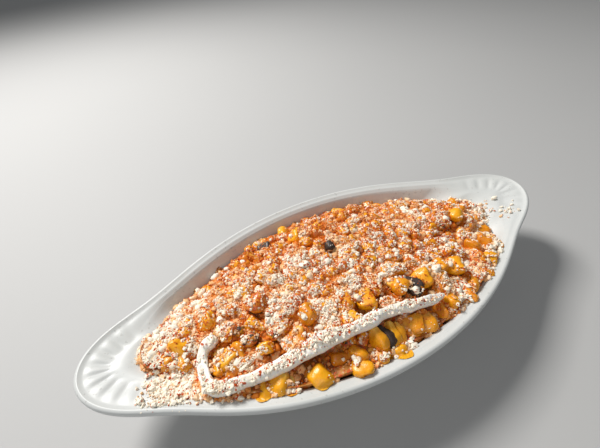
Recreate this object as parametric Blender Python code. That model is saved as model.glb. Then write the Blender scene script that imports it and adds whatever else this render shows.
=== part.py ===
"""Off-the-cob elote served in an oval porcelain gratin dish.

The dish is a long oval with two raised, fluted ears, a rounded rim, an undercut wall
and a foot ring.  A heap of roasted corn kernels fills it, and a thick ribbon of crema
is poured over it.  Metres, +Z up, long axis along X; the origin is on the table plane
under the middle of the dish.
"""

import bpy
import math
import numpy as np

# ---------------------------------------------------------------- dish sizes
HALF_LENGTH = 0.115          # middle of the dish to the tip of an ear
RIM_HEIGHT = 0.032           # table to the top of the rim at the sides
EAR_RISE = 0.0039            # how much higher the tips of the ears are
EAR_START = 0.5              # share of the half length where the rim starts to rise
RIM_WIDTH = 0.0057           # rim's outer edge to the start of the inner wall, at the sides
EAR_WIDTH = 0.0120           # the same at the ears, over bead and flutes
RIM_EDGE = 0.0034            # height of the rim's upright outer edge
RIM_ROUND = 0.0009           # how far the rim's corners are rounded off
BEAD_WIDTH = 0.0032          # plain bead outside the flutes
WALL_START_DROP = 0.0020     # rim top down to the start of the inner wall
EAR_START_DROP = 0.0029      # the same at the ears
FLOOR_HEIGHT = 0.0050        # table to the inside of the floor
FLOOR_HALF = (0.050, 0.032)  # half axes of the flat floor
LIP_UNDERCUT = 0.0026        # rim's outer edge to the outer wall below it, at the sides
EAR_UNDERCUT = 0.0085        # the same under the ears
FOOT_HALF = (0.058, 0.037)   # half axes of the foot ring's outer edge
FOOT_WIDTH = 0.0032
FOOT_RECESS = 0.0012         # table to the underside of the floor
WALL_LEVELS = (0.08, 0.18, 0.30, 0.45, 0.62, 0.80, 1.0)  # rings down the inner wall
OUTER_TURN_HEIGHT = 0.0022   # height where the outer wall meets the foot ring

# outline of the rim: coefficients of cos 3t, cos 5t in x and sin t, sin 3t, sin 5t in y
OUTLINE_X = (-0.054, 0.038)
OUTLINE_Y = (0.398, -0.031, 0.030)

# ---------------------------------------------------------------- flutes
FLUTES_PER_EAR = 11
FLUTE_STEPS = 4              # segments across one flute
FLUTE_DEPTH = 0.0008
EAR_FROM_X = 0.088           # the ears' flutes start at this distance from the middle
SIDE_STEPS = 20              # segments along one side between the ears' flutes

# ---------------------------------------------------------------- food sizes
GAP = 0.0005                 # clearance between food and porcelain
CREMA_GAP = 0.0004           # clearance between crema and corn
CORN_CROWN = 0.0120          # height of the heap's top over the side rim
CORN_EDGE = 0.0030           # thickness of the heap where it meets the wall
CORN_CENTRE = (-0.004, -0.001)
CORN_RINGS = 13
WALL_SHARE_FAR = 0.20        # how far down the inner wall the corn starts, +Y side
WALL_SHARE_NEAR = 0.02       # the same, -Y side
WALL_SHARE_LEFT = 0.19       # the same at the -X end
WALL_SHARE_RIGHT = 0.29      # the same at the +X end
SWELL_HEIGHT = 0.0011        # broad unevenness of the heap
SWELL_LENGTH = 0.048
LUMP_HEIGHT = 0.0008         # finer unevenness, kernel by kernel
LUMP_LENGTH = 0.0135
KNOB_PLACE = (0.050, 0.020)  # the heap's highest knob
KNOB_RADIUS = 0.014
KNOB_HEIGHT = 0.0022

CREMA_HALF_WIDTH = 0.0030    # of the poured ribbon
CREMA_THICKNESS = 0.0037
CREMA_STEPS = 52             # rings along the ribbon
CREMA_SIDES = 12             # points round one ring
CREMA_LINE = (               # middle of the ribbon: a hook on the left, then along the near side
    (-0.0490, -0.0180), (-0.0560, -0.0128), (-0.0625, -0.0105), (-0.0680, -0.0118),
    (-0.0708, -0.0168), (-0.0700, -0.0235), (-0.0662, -0.0273), (-0.0600, -0.0290),
    (-0.0510, -0.0305), (-0.0420, -0.0321), (-0.0320, -0.0336), (-0.0220, -0.0343),
    (-0.0100, -0.0356), (0.0020, -0.0363), (0.0130, -0.0384), (0.0215, -0.0388),
    (0.0290, -0.0372), (0.0348, -0.0340), (0.0370, -0.0290), (0.0340, -0.0240),
)


# ---------------------------------------------------------------- helpers
def smooth(low, high, value):
    """Smooth step from 0 at low to 1 at high."""
    share = np.clip((value - low) / (high - low), 0.0, 1.0)
    return share * share * (3.0 - 2.0 * share)


def make_material(name, colour, roughness, metallic=0.0):
    """Principled material with the given base values."""
    material = bpy.data.materials.new(name)
    material.use_nodes = True
    shader = material.node_tree.nodes["Principled BSDF"]
    shader.inputs["Base Color"].default_value = (*colour, 1.0)
    shader.inputs["Roughness"].default_value = roughness
    shader.inputs["Metallic"].default_value = metallic
    return material


def closed_body(name, first_pole, rings, last_pole, material):
    """One closed body from a pole, a stack of equal rings and a second pole."""
    rings = np.asarray(rings)
    count, around = rings.shape[:2]
    points = np.vstack([[first_pole], rings.reshape(-1, 3), [last_pole]])
    start = 1 + np.arange(count)[:, None] * around
    here = np.arange(around)
    after = (here + 1) % around
    faces = [(0, 1 + int(b), 1 + int(a)) for a, b in zip(here, after)]
    for low, high in zip(start[:-1, 0], start[1:, 0]):
        faces += [(int(low + a), int(low + b), int(high + b), int(high + a))
                  for a, b in zip(here, after)]
    top = len(points) - 1
    last = start[-1, 0]
    faces += [(int(last + a), int(last + b), top) for a, b in zip(here, after)]
    mesh = bpy.data.meshes.new(name)
    mesh.from_pydata([tuple(map(float, p)) for p in points], [], faces)
    mesh.materials.append(material)
    mesh.shade_smooth()
    mesh.set_sharp_from_angle(angle=math.radians(50.0))
    body = bpy.data.objects.new(name, mesh)
    bpy.context.scene.collection.objects.link(body)
    return body


def with_height(plan, height):
    """Plan points joined with their heights."""
    return np.column_stack([plan, np.broadcast_to(height, len(plan))])


# ---------------------------------------------------------------- dish shape
def outline(t):
    """Rim's outer edge: a long oval whose sides are a little hollow near the ears."""
    a3, a5 = OUTLINE_X
    b1, b3, b5 = OUTLINE_Y
    x = np.cos(t) + a3 * (np.cos(3 * t) - np.cos(t)) + a5 * (np.cos(5 * t) - np.cos(t))
    y = b1 * np.sin(t) + b3 * np.sin(3 * t) + b5 * np.sin(5 * t)
    return HALF_LENGTH * np.column_stack([x, y])


def inset(t, distance):
    """Outline moved inwards, square to itself."""
    step = 1e-4
    along = outline(t + step) - outline(t - step)
    along /= np.linalg.norm(along, axis=1)[:, None]
    inward = np.column_stack([-along[:, 1], along[:, 0]])
    return outline(t) + inward * np.broadcast_to(distance, len(t))[:, None]


def rim_top(t):
    """Height of the rim: level at the sides, rising towards the tips of the ears."""
    reach = np.abs(outline(t)[:, 0]) / HALF_LENGTH
    share = np.clip((reach - EAR_START) / (1.0 - EAR_START), 0.0, 1.0)
    return RIM_HEIGHT + EAR_RISE * share ** 2


def ear(t):
    """0 along the sides, 1 on the ears."""
    return smooth(0.70, 0.88, np.abs(outline(t)[:, 0]) / HALF_LENGTH)


def side_value(t, at_side, at_ear):
    """A size that changes smoothly from the sides to the ears."""
    return at_side + (at_ear - at_side) * ear(t)


def wall_start(t):
    """Plan and height of the line where the rim turns into the inner wall."""
    plan = inset(t, side_value(t, RIM_WIDTH, EAR_WIDTH))
    return plan, rim_top(t) - side_value(t, WALL_START_DROP, EAR_START_DROP)


def inner_wall(t, share):
    """Point on the inner wall; share 0 is under the rim and 1 is at the flat floor.

    At the sides the wall is a deep round bowl, and towards the ears it is a long slope.
    """
    plan, height = wall_start(t)
    floor = np.column_stack([FLOOR_HALF[0] * np.cos(t), FLOOR_HALF[1] * np.sin(t)])
    share = np.broadcast_to(share, len(t))
    round_drop = 1.0 - (1.0 - share) ** 1.6
    slope_drop = smooth(0.0, 1.0, share)
    drop = round_drop + (slope_drop - round_drop) * ear(t)
    where = plan + (floor - plan) * share[:, None]
    return with_height(where, height + (FLOOR_HEIGHT - height) * drop)


def outer_wall(t, share):
    """Point on the outer wall; share 0 is under the rim and 1 is at the foot ring."""
    plan = inset(t, side_value(t, LIP_UNDERCUT, EAR_UNDERCUT))
    height = rim_top(t) - RIM_EDGE - 0.0006 - 0.0012 * ear(t)
    foot = np.column_stack([FOOT_HALF[0] * np.cos(t), FOOT_HALF[1] * np.sin(t)])
    round_drop = 1.0 - (1.0 - share) ** 1.5
    slope_drop = smooth(0.0, 1.0, np.asarray(share)) ** 0.85
    drop = round_drop + (slope_drop - round_drop) * ear(t)
    where = plan + (foot - plan) * share
    return with_height(where, height + (OUTER_TURN_HEIGHT - height) * drop)


def ring_parameters():
    """Outline parameters of the segments: fine over the flutes, coarse along the sides."""
    fine = np.linspace(0.0, 2.0 * np.pi, 8001)
    path = outline(fine)
    run = np.concatenate([[0.0], np.cumsum(np.linalg.norm(np.diff(path, axis=0), axis=1))])
    quarter = fine < 0.5 * np.pi
    ear_end = np.interp(-EAR_FROM_X, -path[quarter, 0], run[quarter])
    half = 0.5 * run[-1]
    ear_steps = FLUTES_PER_EAR * FLUTE_STEPS
    stops = []
    for turn in (0.0, half):
        stops.append(turn + np.linspace(-ear_end, ear_end, ear_steps, endpoint=False))
        stops.append(turn + np.linspace(ear_end, half - ear_end, SIDE_STEPS, endpoint=False))
    t = np.interp(np.mod(np.concatenate(stops), run[-1]), run, fine)
    one_ear = np.arange(ear_steps) / FLUTE_STEPS
    one_side = np.zeros(SIDE_STEPS)
    phase = np.concatenate([one_ear, one_side, one_ear, one_side])
    return t, phase


def flute_dip(phase):
    """Depth of the flutes: narrow rounded grooves between broad flat ribs."""
    return FLUTE_DEPTH * (0.5 + 0.5 * np.cos(2.0 * np.pi * (phase + 0.5))) ** 1.5


def build_dish():
    """Porcelain dish: bowl, rim with fluted ears, undercut wall and foot ring."""
    t, phase = ring_parameters()
    top = rim_top(t)
    dip = flute_dip(phase) * ear(t)
    start, start_height = wall_start(t)
    width = side_value(t, RIM_WIDTH, EAR_WIDTH)
    bead = side_value(t, 0.62 * RIM_WIDTH, BEAD_WIDTH)
    flute_top = side_value(t, 0.0007, 0.0009)
    rings = [inner_wall(t, level) for level in reversed(WALL_LEVELS)]
    rings.append(with_height(start, start_height))
    for share in (0.33, 0.70):
        height = start_height + (top - flute_top - start_height) * share
        rings.append(with_height(inset(t, width + (bead - width) * share), height - dip))
    rings.append(with_height(inset(t, bead), top - flute_top))
    rings.append(with_height(inset(t, 0.75 * bead), top - 0.0001))
    rings.append(with_height(inset(t, 1.3 * RIM_ROUND), top))
    rings.append(with_height(inset(t, 0.3 * RIM_ROUND), top - 0.4 * RIM_ROUND))
    rings.append(with_height(outline(t), top - 1.3 * RIM_ROUND))
    rings.append(with_height(outline(t), top - RIM_EDGE + RIM_ROUND))
    rings.append(with_height(inset(t, RIM_ROUND), top - RIM_EDGE))
    rings += [outer_wall(t, share) for share in (0.0, 0.2, 0.55, 1.0)]
    foot = np.column_stack([np.cos(t), np.sin(t)])
    outer_foot = foot * (np.array(FOOT_HALF) - 0.0006)
    inner_foot = foot * (np.array(FOOT_HALF) - FOOT_WIDTH)
    rings.append(with_height(outer_foot, 0.0))
    rings.append(with_height(inner_foot, 0.0))
    rings.append(with_height(inner_foot - 0.0006 * foot, FOOT_RECESS))
    porcelain = make_material("white_porcelain", (0.86, 0.85, 0.81), 0.12)
    floor_pole = (0.0, 0.0, FLOOR_HEIGHT)
    foot_pole = (0.0, 0.0, FOOT_RECESS)
    return closed_body("dish", foot_pole, rings[::-1], floor_pole, porcelain)


# ---------------------------------------------------------------- corn shape
def waves(x, y, length, turn):
    """Uneven surface between about -1 and 1: waves that run in spread directions."""
    total = np.zeros_like(x)
    for number in range(5):
        angle = turn + 2.4 * number
        wave = 2.0 * np.pi / (length * (1.0 + 0.13 * number))
        total += np.sin(wave * (x * np.cos(angle) + y * np.sin(angle)) + 1.7 * number)
    return total / 2.6


def corn_wall_share(t):
    """How far down the inner wall the corn meets it, all the way round."""
    far = 0.5 + 0.5 * np.sin(t)
    along = WALL_SHARE_NEAR + (WALL_SHARE_FAR - WALL_SHARE_NEAR) * smooth(0.25, 0.85, far)
    right = smooth(0.55, 0.95, np.cos(t))
    left = smooth(0.55, 0.95, -np.cos(t))
    share = along + (WALL_SHARE_RIGHT - along) * right
    share = share + (WALL_SHARE_LEFT - share) * left
    return share + 0.012 * np.sin(7.0 * t) + 0.010 * np.sin(12.0 * t + 1.0)


def crema_distance(x, y):
    """Distance in plan from the middle of the crema ribbon."""
    line = crema_line(np.linspace(0.0, 1.0, 160))
    away = np.hypot(np.ravel(x)[:, None] - line[:, 0], np.ravel(y)[:, None] - line[:, 1])
    return away.min(axis=1).reshape(np.shape(x))


def corn_top(x, y, share, edge_height):
    """Height of the heap: a broad crown with swells, a knob and kernel-sized lumps."""
    crown = RIM_HEIGHT + CORN_CROWN
    dome = edge_height + (crown - edge_height) * (1.0 - share ** 2.4) ** 1.15
    inside = 1.0 - smooth(0.80, 1.0, share)
    swell = SWELL_HEIGHT * waves(x, y, SWELL_LENGTH, 0.4)
    knob_share = np.hypot(x - KNOB_PLACE[0], y - KNOB_PLACE[1]) / KNOB_RADIUS
    knob = KNOB_HEIGHT * (1.0 - smooth(0.0, 1.0, knob_share))
    bare = smooth(1.2, 2.2, crema_distance(x, y) / CREMA_HALF_WIDTH)
    lumps = LUMP_HEIGHT * waves(x, y, LUMP_LENGTH, 1.1) * bare
    return dome + inside * (swell + knob + lumps)


def corn_rim():
    """Line round the wall where the heap ends, and the outline parameters of its points."""
    t, phase = ring_parameters()
    t = t[phase == np.floor(phase)]
    edge = inner_wall(t, corn_wall_share(t))
    return t, edge


def corn_surface(share):
    """Ring of the heap's top at a share of the way from its centre to its rim."""
    t, edge = corn_rim()
    centre = np.array(CORN_CENTRE)
    plan = centre + share * (edge[:, :2] - centre)
    height = corn_top(plan[:, 0], plan[:, 1], np.full(len(t), share), edge[:, 2] + CORN_EDGE)
    return with_height(plan, height)


def heap_height(x, y):
    """Height of the heap's top over any plan point."""
    t, edge = corn_rim()
    centre = np.array(CORN_CENTRE)
    ray = edge[:, :2] - centre
    angles = np.arctan2(ray[:, 1], ray[:, 0])
    order = np.argsort(angles)
    turn = np.arctan2(y - centre[1], x - centre[0])
    full = 2.0 * np.pi
    limit = np.interp(turn, angles[order], np.hypot(ray[:, 0], ray[:, 1])[order], period=full)
    edge_height = np.interp(turn, angles[order], edge[order, 2], period=full) + CORN_EDGE
    share = np.minimum(np.hypot(x - centre[0], y - centre[1]) / limit, 1.0)
    return corn_top(x, y, share, edge_height)


def lifted(ring):
    """Ring of the inner wall moved up and inwards by the clearance."""
    inward = -ring[:, :2] / np.linalg.norm(ring[:, :2], axis=1)[:, None]
    return ring + GAP * np.column_stack([inward, np.ones(len(ring))])


def build_corn():
    """Heap of corn: its underside follows the bowl and its top is uneven."""
    t, _ = corn_rim()
    rim_share = corn_wall_share(t)
    rings = []
    for level in reversed(WALL_LEVELS):
        share = np.maximum(level, rim_share + 0.002 / level)
        rings.append(lifted(inner_wall(t, share)))
    top_shares = np.linspace(0.998, 0.0, CORN_RINGS, endpoint=False) ** 0.9
    edge_ring = corn_surface(float(top_shares[0]))
    middle = 0.5 * (edge_ring + rings[-1])
    rings.append(middle)
    rings += [corn_surface(float(share)) for share in top_shares]
    floor_pole = (0.0, 0.0, FLOOR_HEIGHT + GAP)
    peak = corn_surface(0.0)[0]
    corn = make_material("roasted_corn", (0.83, 0.47, 0.07), 0.35)
    return closed_body("corn_heap", floor_pole, rings, peak, corn)


# ---------------------------------------------------------------- crema shape
def crema_line(share):
    """Smooth open curve through the points of the ribbon's middle line."""
    points = np.array(CREMA_LINE)
    last = len(points) - 1
    place = np.clip(share, 0.0, 1.0) * last
    index = np.minimum(place.astype(int), last - 1)
    f = (place - index)[:, None]
    steps = (index + step for step in (-1, 0, 1, 2))
    before, here, after, beyond = (points[np.clip(step, 0, last)] for step in steps)
    bend = f * (after - before) + f ** 2 * (2 * before - 5 * here + 4 * after - beyond)
    return here + 0.5 * (bend + f ** 3 * (3 * here - before - 3 * after + beyond))


def build_crema():
    """Ribbon of crema: a thick rounded band poured on the heap, tapered at its ends."""
    share = np.linspace(0.0, 1.0, CREMA_STEPS)
    middle = crema_line(share)
    along = np.gradient(middle, axis=0)
    along /= np.linalg.norm(along, axis=1)[:, None]
    across = np.column_stack([-along[:, 1], along[:, 0]])
    taper = np.sqrt(smooth(-0.02, 0.07, share) * smooth(-0.02, 0.07, 1.0 - share))
    width = CREMA_HALF_WIDTH * taper * (1.0 + 0.10 * np.sin(31.0 * share))
    thickness = CREMA_THICKNESS * taper * (1.0 + 0.08 * np.sin(47.0 * share + 1.0))
    rings = []
    for number in range(CREMA_STEPS):
        angle = np.linspace(0.0, 2.0 * np.pi, CREMA_SIDES, endpoint=False)
        plan = middle[number] + np.outer(np.cos(angle), across[number]) * width[number]
        lift = thickness[number] * np.clip(0.35 + 0.65 * np.sin(angle), 0.0, 1.0)
        rings.append(with_height(plan, heap_height(plan[:, 0], plan[:, 1]) + CREMA_GAP + lift))
    first, last = (ring.mean(axis=0) for ring in (rings[0], rings[-1]))
    crema = make_material("crema", (0.90, 0.86, 0.76), 0.30)
    return closed_body("crema", first, rings, last, crema)


def main():
    """Clear the scene and build the dish, the corn and the crema."""
    for old in list(bpy.data.objects):
        bpy.data.objects.remove(old, do_unlink=True)
    build_dish()
    build_corn()
    build_crema()


main()
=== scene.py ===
"""Off-the-cob elote in an oval porcelain gratin dish.

The dish carries a heap of roasted corn kernels.  A ribbon of crema is poured over the
near side, crumbled cheese lies over everything and chili powder is dusted on top.
Every size is in metres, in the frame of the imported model.
"""

import logging
import math
from dataclasses import dataclass, field
from enum import Enum
from typing import Callable, Optional, Sequence

import bpy
import numpy as np
from mathutils import Matrix, Vector
from mathutils.bvhtree import BVHTree

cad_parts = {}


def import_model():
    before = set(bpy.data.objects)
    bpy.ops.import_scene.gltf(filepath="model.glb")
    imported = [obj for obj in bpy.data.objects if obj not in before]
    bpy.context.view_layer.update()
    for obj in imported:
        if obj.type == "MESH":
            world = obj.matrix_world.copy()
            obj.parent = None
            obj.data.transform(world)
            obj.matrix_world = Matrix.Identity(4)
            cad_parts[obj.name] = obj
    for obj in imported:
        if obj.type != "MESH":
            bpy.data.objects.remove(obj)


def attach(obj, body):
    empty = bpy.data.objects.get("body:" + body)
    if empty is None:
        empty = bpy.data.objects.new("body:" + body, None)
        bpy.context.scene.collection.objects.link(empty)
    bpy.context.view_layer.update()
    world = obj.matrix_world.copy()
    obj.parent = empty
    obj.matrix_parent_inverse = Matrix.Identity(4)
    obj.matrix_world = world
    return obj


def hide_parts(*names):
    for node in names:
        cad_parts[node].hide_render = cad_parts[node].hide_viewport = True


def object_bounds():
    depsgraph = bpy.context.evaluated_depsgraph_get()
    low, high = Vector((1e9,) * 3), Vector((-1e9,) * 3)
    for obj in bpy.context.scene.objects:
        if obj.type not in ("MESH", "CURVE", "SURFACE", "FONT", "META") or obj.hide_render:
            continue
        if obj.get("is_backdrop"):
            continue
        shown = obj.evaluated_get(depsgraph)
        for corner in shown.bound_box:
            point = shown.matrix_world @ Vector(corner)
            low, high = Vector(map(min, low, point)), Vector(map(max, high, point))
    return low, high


Array = np.ndarray
Colour = tuple[float, float, float]
LOG = logging.getLogger("elote")
ROOT = "root"
TURN = 2.0 * math.pi
GROUND_HALF = (0.106, 0.052)
BOWL_CELL = 0.0006
CEILING_GAP = 0.0002
LATTICE = np.array([73856093, 19349663, 83492791])
SEED_STEP = 2654435761
FIRST_HASH = 1540483477
SECOND_HASH = 668265263
LOW_32_BITS = 0xFFFFFFFF
LOW_16_BITS = 0xFFFF


# ------------------------------------------------------------------ arithmetic
def smooth(low: float, high: float, value: Array) -> Array:
    """Smooth step from 0 at low to 1 at high: 3s^2 - 2s^3 of the clipped share s."""
    share = np.clip((np.asarray(value) - low) / (high - low), 0.0, 1.0)
    return share * share * (3.0 - 2.0 * share)


def blend(first: Array, second: Array, share: Array) -> Array:
    """Straight mix of two values: first at share 0, second at share 1."""
    return first + (second - first) * share


def value_noise(points: Array, cell: float, seed: int = 0) -> Array:
    """Smooth random field between 0 and 1.

    Each corner of a cubic lattice gets a hashed number, and a point takes the mix of its
    eight corners, weighted by smooth steps along the three axes.

    Args:
        points: places, shape (..., 3), in metres.
        cell: size of a lattice cell, in metres.
        seed: picks another field.

    Returns:
        One number for each point.
    """
    place = np.asarray(points) / cell + 1000.0
    base = np.floor(place).astype(np.int64)
    part = place - base
    part = part * part * (3.0 - 2.0 * part)
    total = np.zeros(place.shape[:-1])
    for corner in range(8):
        step = np.array([corner & 1, corner >> 1 & 1, corner >> 2 & 1])
        key = (base + step) @ LATTICE + seed * SEED_STEP
        key = (key ^ (key >> 13)) * FIRST_HASH & LOW_32_BITS
        key = (key ^ (key >> 15)) * SECOND_HASH & LOW_32_BITS
        weight = np.prod(np.where(step, part, 1.0 - part), axis=-1)
        total += weight * ((key ^ (key >> 16)) & LOW_16_BITS) / LOW_16_BITS
    return total


def layered_noise(points: Array, cell: float, seed: int = 0, layers: int = 3) -> Array:
    """Sum of value noises, each half as large and half as strong as the one before."""
    total = np.zeros(np.asarray(points).shape[:-1])
    for layer in range(layers):
        total += value_noise(points, cell / 2 ** layer, seed + layer) / 2 ** layer
    return total / (2.0 - 2.0 ** (1 - layers))


def in_plane(x: Array, y: Array, z: float = 0.0) -> Array:
    """Plan coordinates as points at one height."""
    return np.stack([x, y, np.full(np.shape(x), z)], axis=-1)


def curve_through(points: Array, share: Array) -> Array:
    """Open Catmull-Rom curve: a cubic through each pair of points, bent by their neighbours.

    Args:
        points: points that the curve passes through, shape (n, 2).
        share: places along the curve, 0 to 1.

    Returns:
        Points of the curve, shape (len(share), 2).
    """
    last = len(points) - 1
    place = np.clip(share, 0.0, 1.0) * last
    index = np.minimum(place.astype(int), last - 1)
    f = (place - index)[:, None]
    near = [points[np.clip(index + step, 0, last)] for step in (-1, 0, 1, 2)]
    before, here, after, beyond = near
    bend = f * (after - before) + f ** 2 * (2 * before - 5 * here + 4 * after - beyond)
    return here + 0.5 * (bend + f ** 3 * (3 * here - before - 3 * after + beyond))


# ------------------------------------------------------------------ meshes
def grid_quads(rows: int, around: int) -> Array:
    """Corner numbers of the quads between the rows of a grid whose rows close on themselves.

    Args:
        rows: number of rows, one after another in the point list.
        around: points in a row.

    Returns:
        Quads, shape (n, 4).
    """
    here = np.arange(around)
    after = (here + 1) % around
    start = np.arange(rows - 1)[:, None] * around
    quads = [start + here, start + after, start + around + after, start + around + here]
    return np.stack(quads, axis=-1).reshape(-1, 4)


def capped_faces(rows: int, around: int) -> tuple[Array, Array]:
    """Faces of a closed body made of rows with a pole before and a pole after them.

    Args:
        rows: number of rows between the poles.
        around: points in a row.

    Returns:
        Quads between the rows, and triangles at the two poles.
    """
    here = np.arange(around)
    after = (here + 1) % around
    first = np.stack([np.zeros_like(here), 1 + after, 1 + here], axis=-1)
    top = 1 + rows * around
    low = 1 + (rows - 1) * around
    last = np.stack([low + here, low + after, np.full_like(here, top)], axis=-1)
    return grid_quads(rows, around) + 1, np.vstack([first, last])


def new_mesh(
    name: str,
    points: Array,
    faces: Sequence[Array],
    material: bpy.types.Material,
    rounded: bool = True,
    values: Optional[dict[str, Array]] = None,
) -> bpy.types.Object:
    """Mesh object from whole arrays.

    Args:
        name: name of the piece.
        points: places of the points, shape (n, 3).
        faces: arrays of faces, each with its own number of corners.
        material: finish of the whole piece.
        rounded: smooth shading instead of flat.
        values: named numbers, one for each point, which the material can read.

    Returns:
        The new object, at the origin.
    """
    mesh = bpy.data.meshes.new(name)
    points = np.ascontiguousarray(points, dtype=np.float32)
    corners = np.concatenate([part.ravel() for part in faces]).astype(np.int32)
    sizes = np.concatenate([np.full(len(part), part.shape[1]) for part in faces])
    starts = np.concatenate([[0], np.cumsum(sizes)[:-1]]).astype(np.int32)
    mesh.vertices.add(len(points))
    mesh.vertices.foreach_set("co", points.ravel())
    mesh.loops.add(len(corners))
    mesh.loops.foreach_set("vertex_index", corners)
    mesh.polygons.add(len(sizes))
    mesh.polygons.foreach_set("loop_start", starts)
    mesh.polygons.foreach_set("use_smooth", np.full(len(sizes), rounded))
    for label, numbers in (values or {}).items():
        attribute = mesh.attributes.new(label, "FLOAT", "POINT")
        attribute.data.foreach_set("value", np.ascontiguousarray(numbers, dtype=np.float32))
    mesh.update(calc_edges=True)
    mesh.validate()
    mesh.materials.append(material)
    piece = bpy.data.objects.new(name, mesh)
    bpy.context.scene.collection.objects.link(piece)
    return piece


def place_piece(piece: bpy.types.Object, slot: str, *replaced: str) -> None:
    """Rides a piece on the dish's body and hides the imported nodes that it stands for."""
    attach(piece, ROOT)
    if replaced:
        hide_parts(*replaced)
    LOG.info("%s: %d faces", piece.name, len(piece.data.polygons))


# ------------------------------------------------------------------ shader tools
class Graph:
    """Adds nodes to one node tree and links them."""

    def __init__(self, tree: bpy.types.NodeTree) -> None:
        """Keeps the tree that nodes are added to."""
        self.tree = tree

    def add(self, kind: str, inputs: Optional[dict] = None, **settings) -> bpy.types.Node:
        """One node.

        Args:
            kind: node type without the ShaderNode prefix.
            inputs: values or sockets by input name or number.
            **settings: properties of the node.

        Returns:
            The new node.
        """
        node = self.tree.nodes.new("ShaderNode" + kind)
        for label, setting in settings.items():
            setattr(node, label, setting)
        for label, value in (inputs or {}).items():
            self.put(node.inputs[label], value)
        return node

    def put(self, target: bpy.types.NodeSocket, value: object) -> None:
        """Links a socket to another, or sets its own value."""
        if isinstance(value, bpy.types.NodeSocket):
            self.tree.links.new(value, target)
        elif isinstance(value, tuple) and len(value) == 3 and target.type == "RGBA":
            target.default_value = (*value, 1.0)
        else:
            target.default_value = value

    def math(self, operation: str, *values: object, clamp: bool = False) -> bpy.types.NodeSocket:
        """Result of a Math node on one to three values."""
        node = self.add("Math", dict(enumerate(values)), operation=operation, use_clamp=clamp)
        return node.outputs[0]

    def mix(self, share: object, first: object, second: object,
            how: str = "MIX") -> bpy.types.NodeSocket:
        """Mix of two colours by a share."""
        node = self.add("Mix", data_type="RGBA", blend_type=how, clamp_factor=True)
        self.put(node.inputs[0], share)
        self.put(node.inputs[6], first)
        self.put(node.inputs[7], second)
        return node.outputs[2]

    def step(self, value: object, low: object, high: object) -> bpy.types.NodeSocket:
        """Smooth step of a value from 0 at low to 1 at high."""
        wanted = {"Value": value, "From Min": low, "From Max": high}
        return self.add("MapRange", wanted, interpolation_type="SMOOTHSTEP").outputs[0]

    def noise(self, place: object, scale: object, detail: float = 2.0,
              roughness: float = 0.5) -> bpy.types.NodeSocket:
        """Value of a Noise Texture at a place."""
        wanted = {"Vector": place, "Scale": scale, "Detail": detail, "Roughness": roughness}
        return self.add("TexNoise", wanted).outputs[0]

    def place(self) -> bpy.types.NodeSocket:
        """Object coordinates."""
        return self.add("TexCoord").outputs["Object"]

    def attribute(self, name: str) -> bpy.types.NodeSocket:
        """Number stored with the mesh under a name."""
        return self.add("Attribute", attribute_name=name).outputs["Fac"]

    def group(self, tree: bpy.types.NodeTree, **values: object) -> bpy.types.Node:
        """Node group with its inputs set by name; an underscore stands for a space."""
        node = self.add("Group", node_tree=tree)
        for label, value in values.items():
            self.put(node.inputs[label.replace("_", " ")], value)
        return node


def new_group(name: str, inputs: dict[str, float], outputs: Sequence[str]) -> tuple[
        bpy.types.NodeTree, Graph, bpy.types.NodeSocket, bpy.types.Node]:
    """Empty shader node group with number sockets.

    Args:
        name: name of the group.
        inputs: input names with their default values.
        outputs: output names.

    Returns:
        The tree, its graph, its input node's sockets and its output node.
    """
    tree = bpy.data.node_groups.new(name, "ShaderNodeTree")
    for label, value in inputs.items():
        socket = tree.interface.new_socket(label, in_out="INPUT", socket_type="NodeSocketFloat")
        socket.default_value = value
    for label in outputs:
        tree.interface.new_socket(label, in_out="OUTPUT", socket_type="NodeSocketFloat")
    graph = Graph(tree)
    start = tree.nodes.new("NodeGroupInput")
    end = tree.nodes.new("NodeGroupOutput")
    return tree, graph, start.outputs, end


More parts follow.
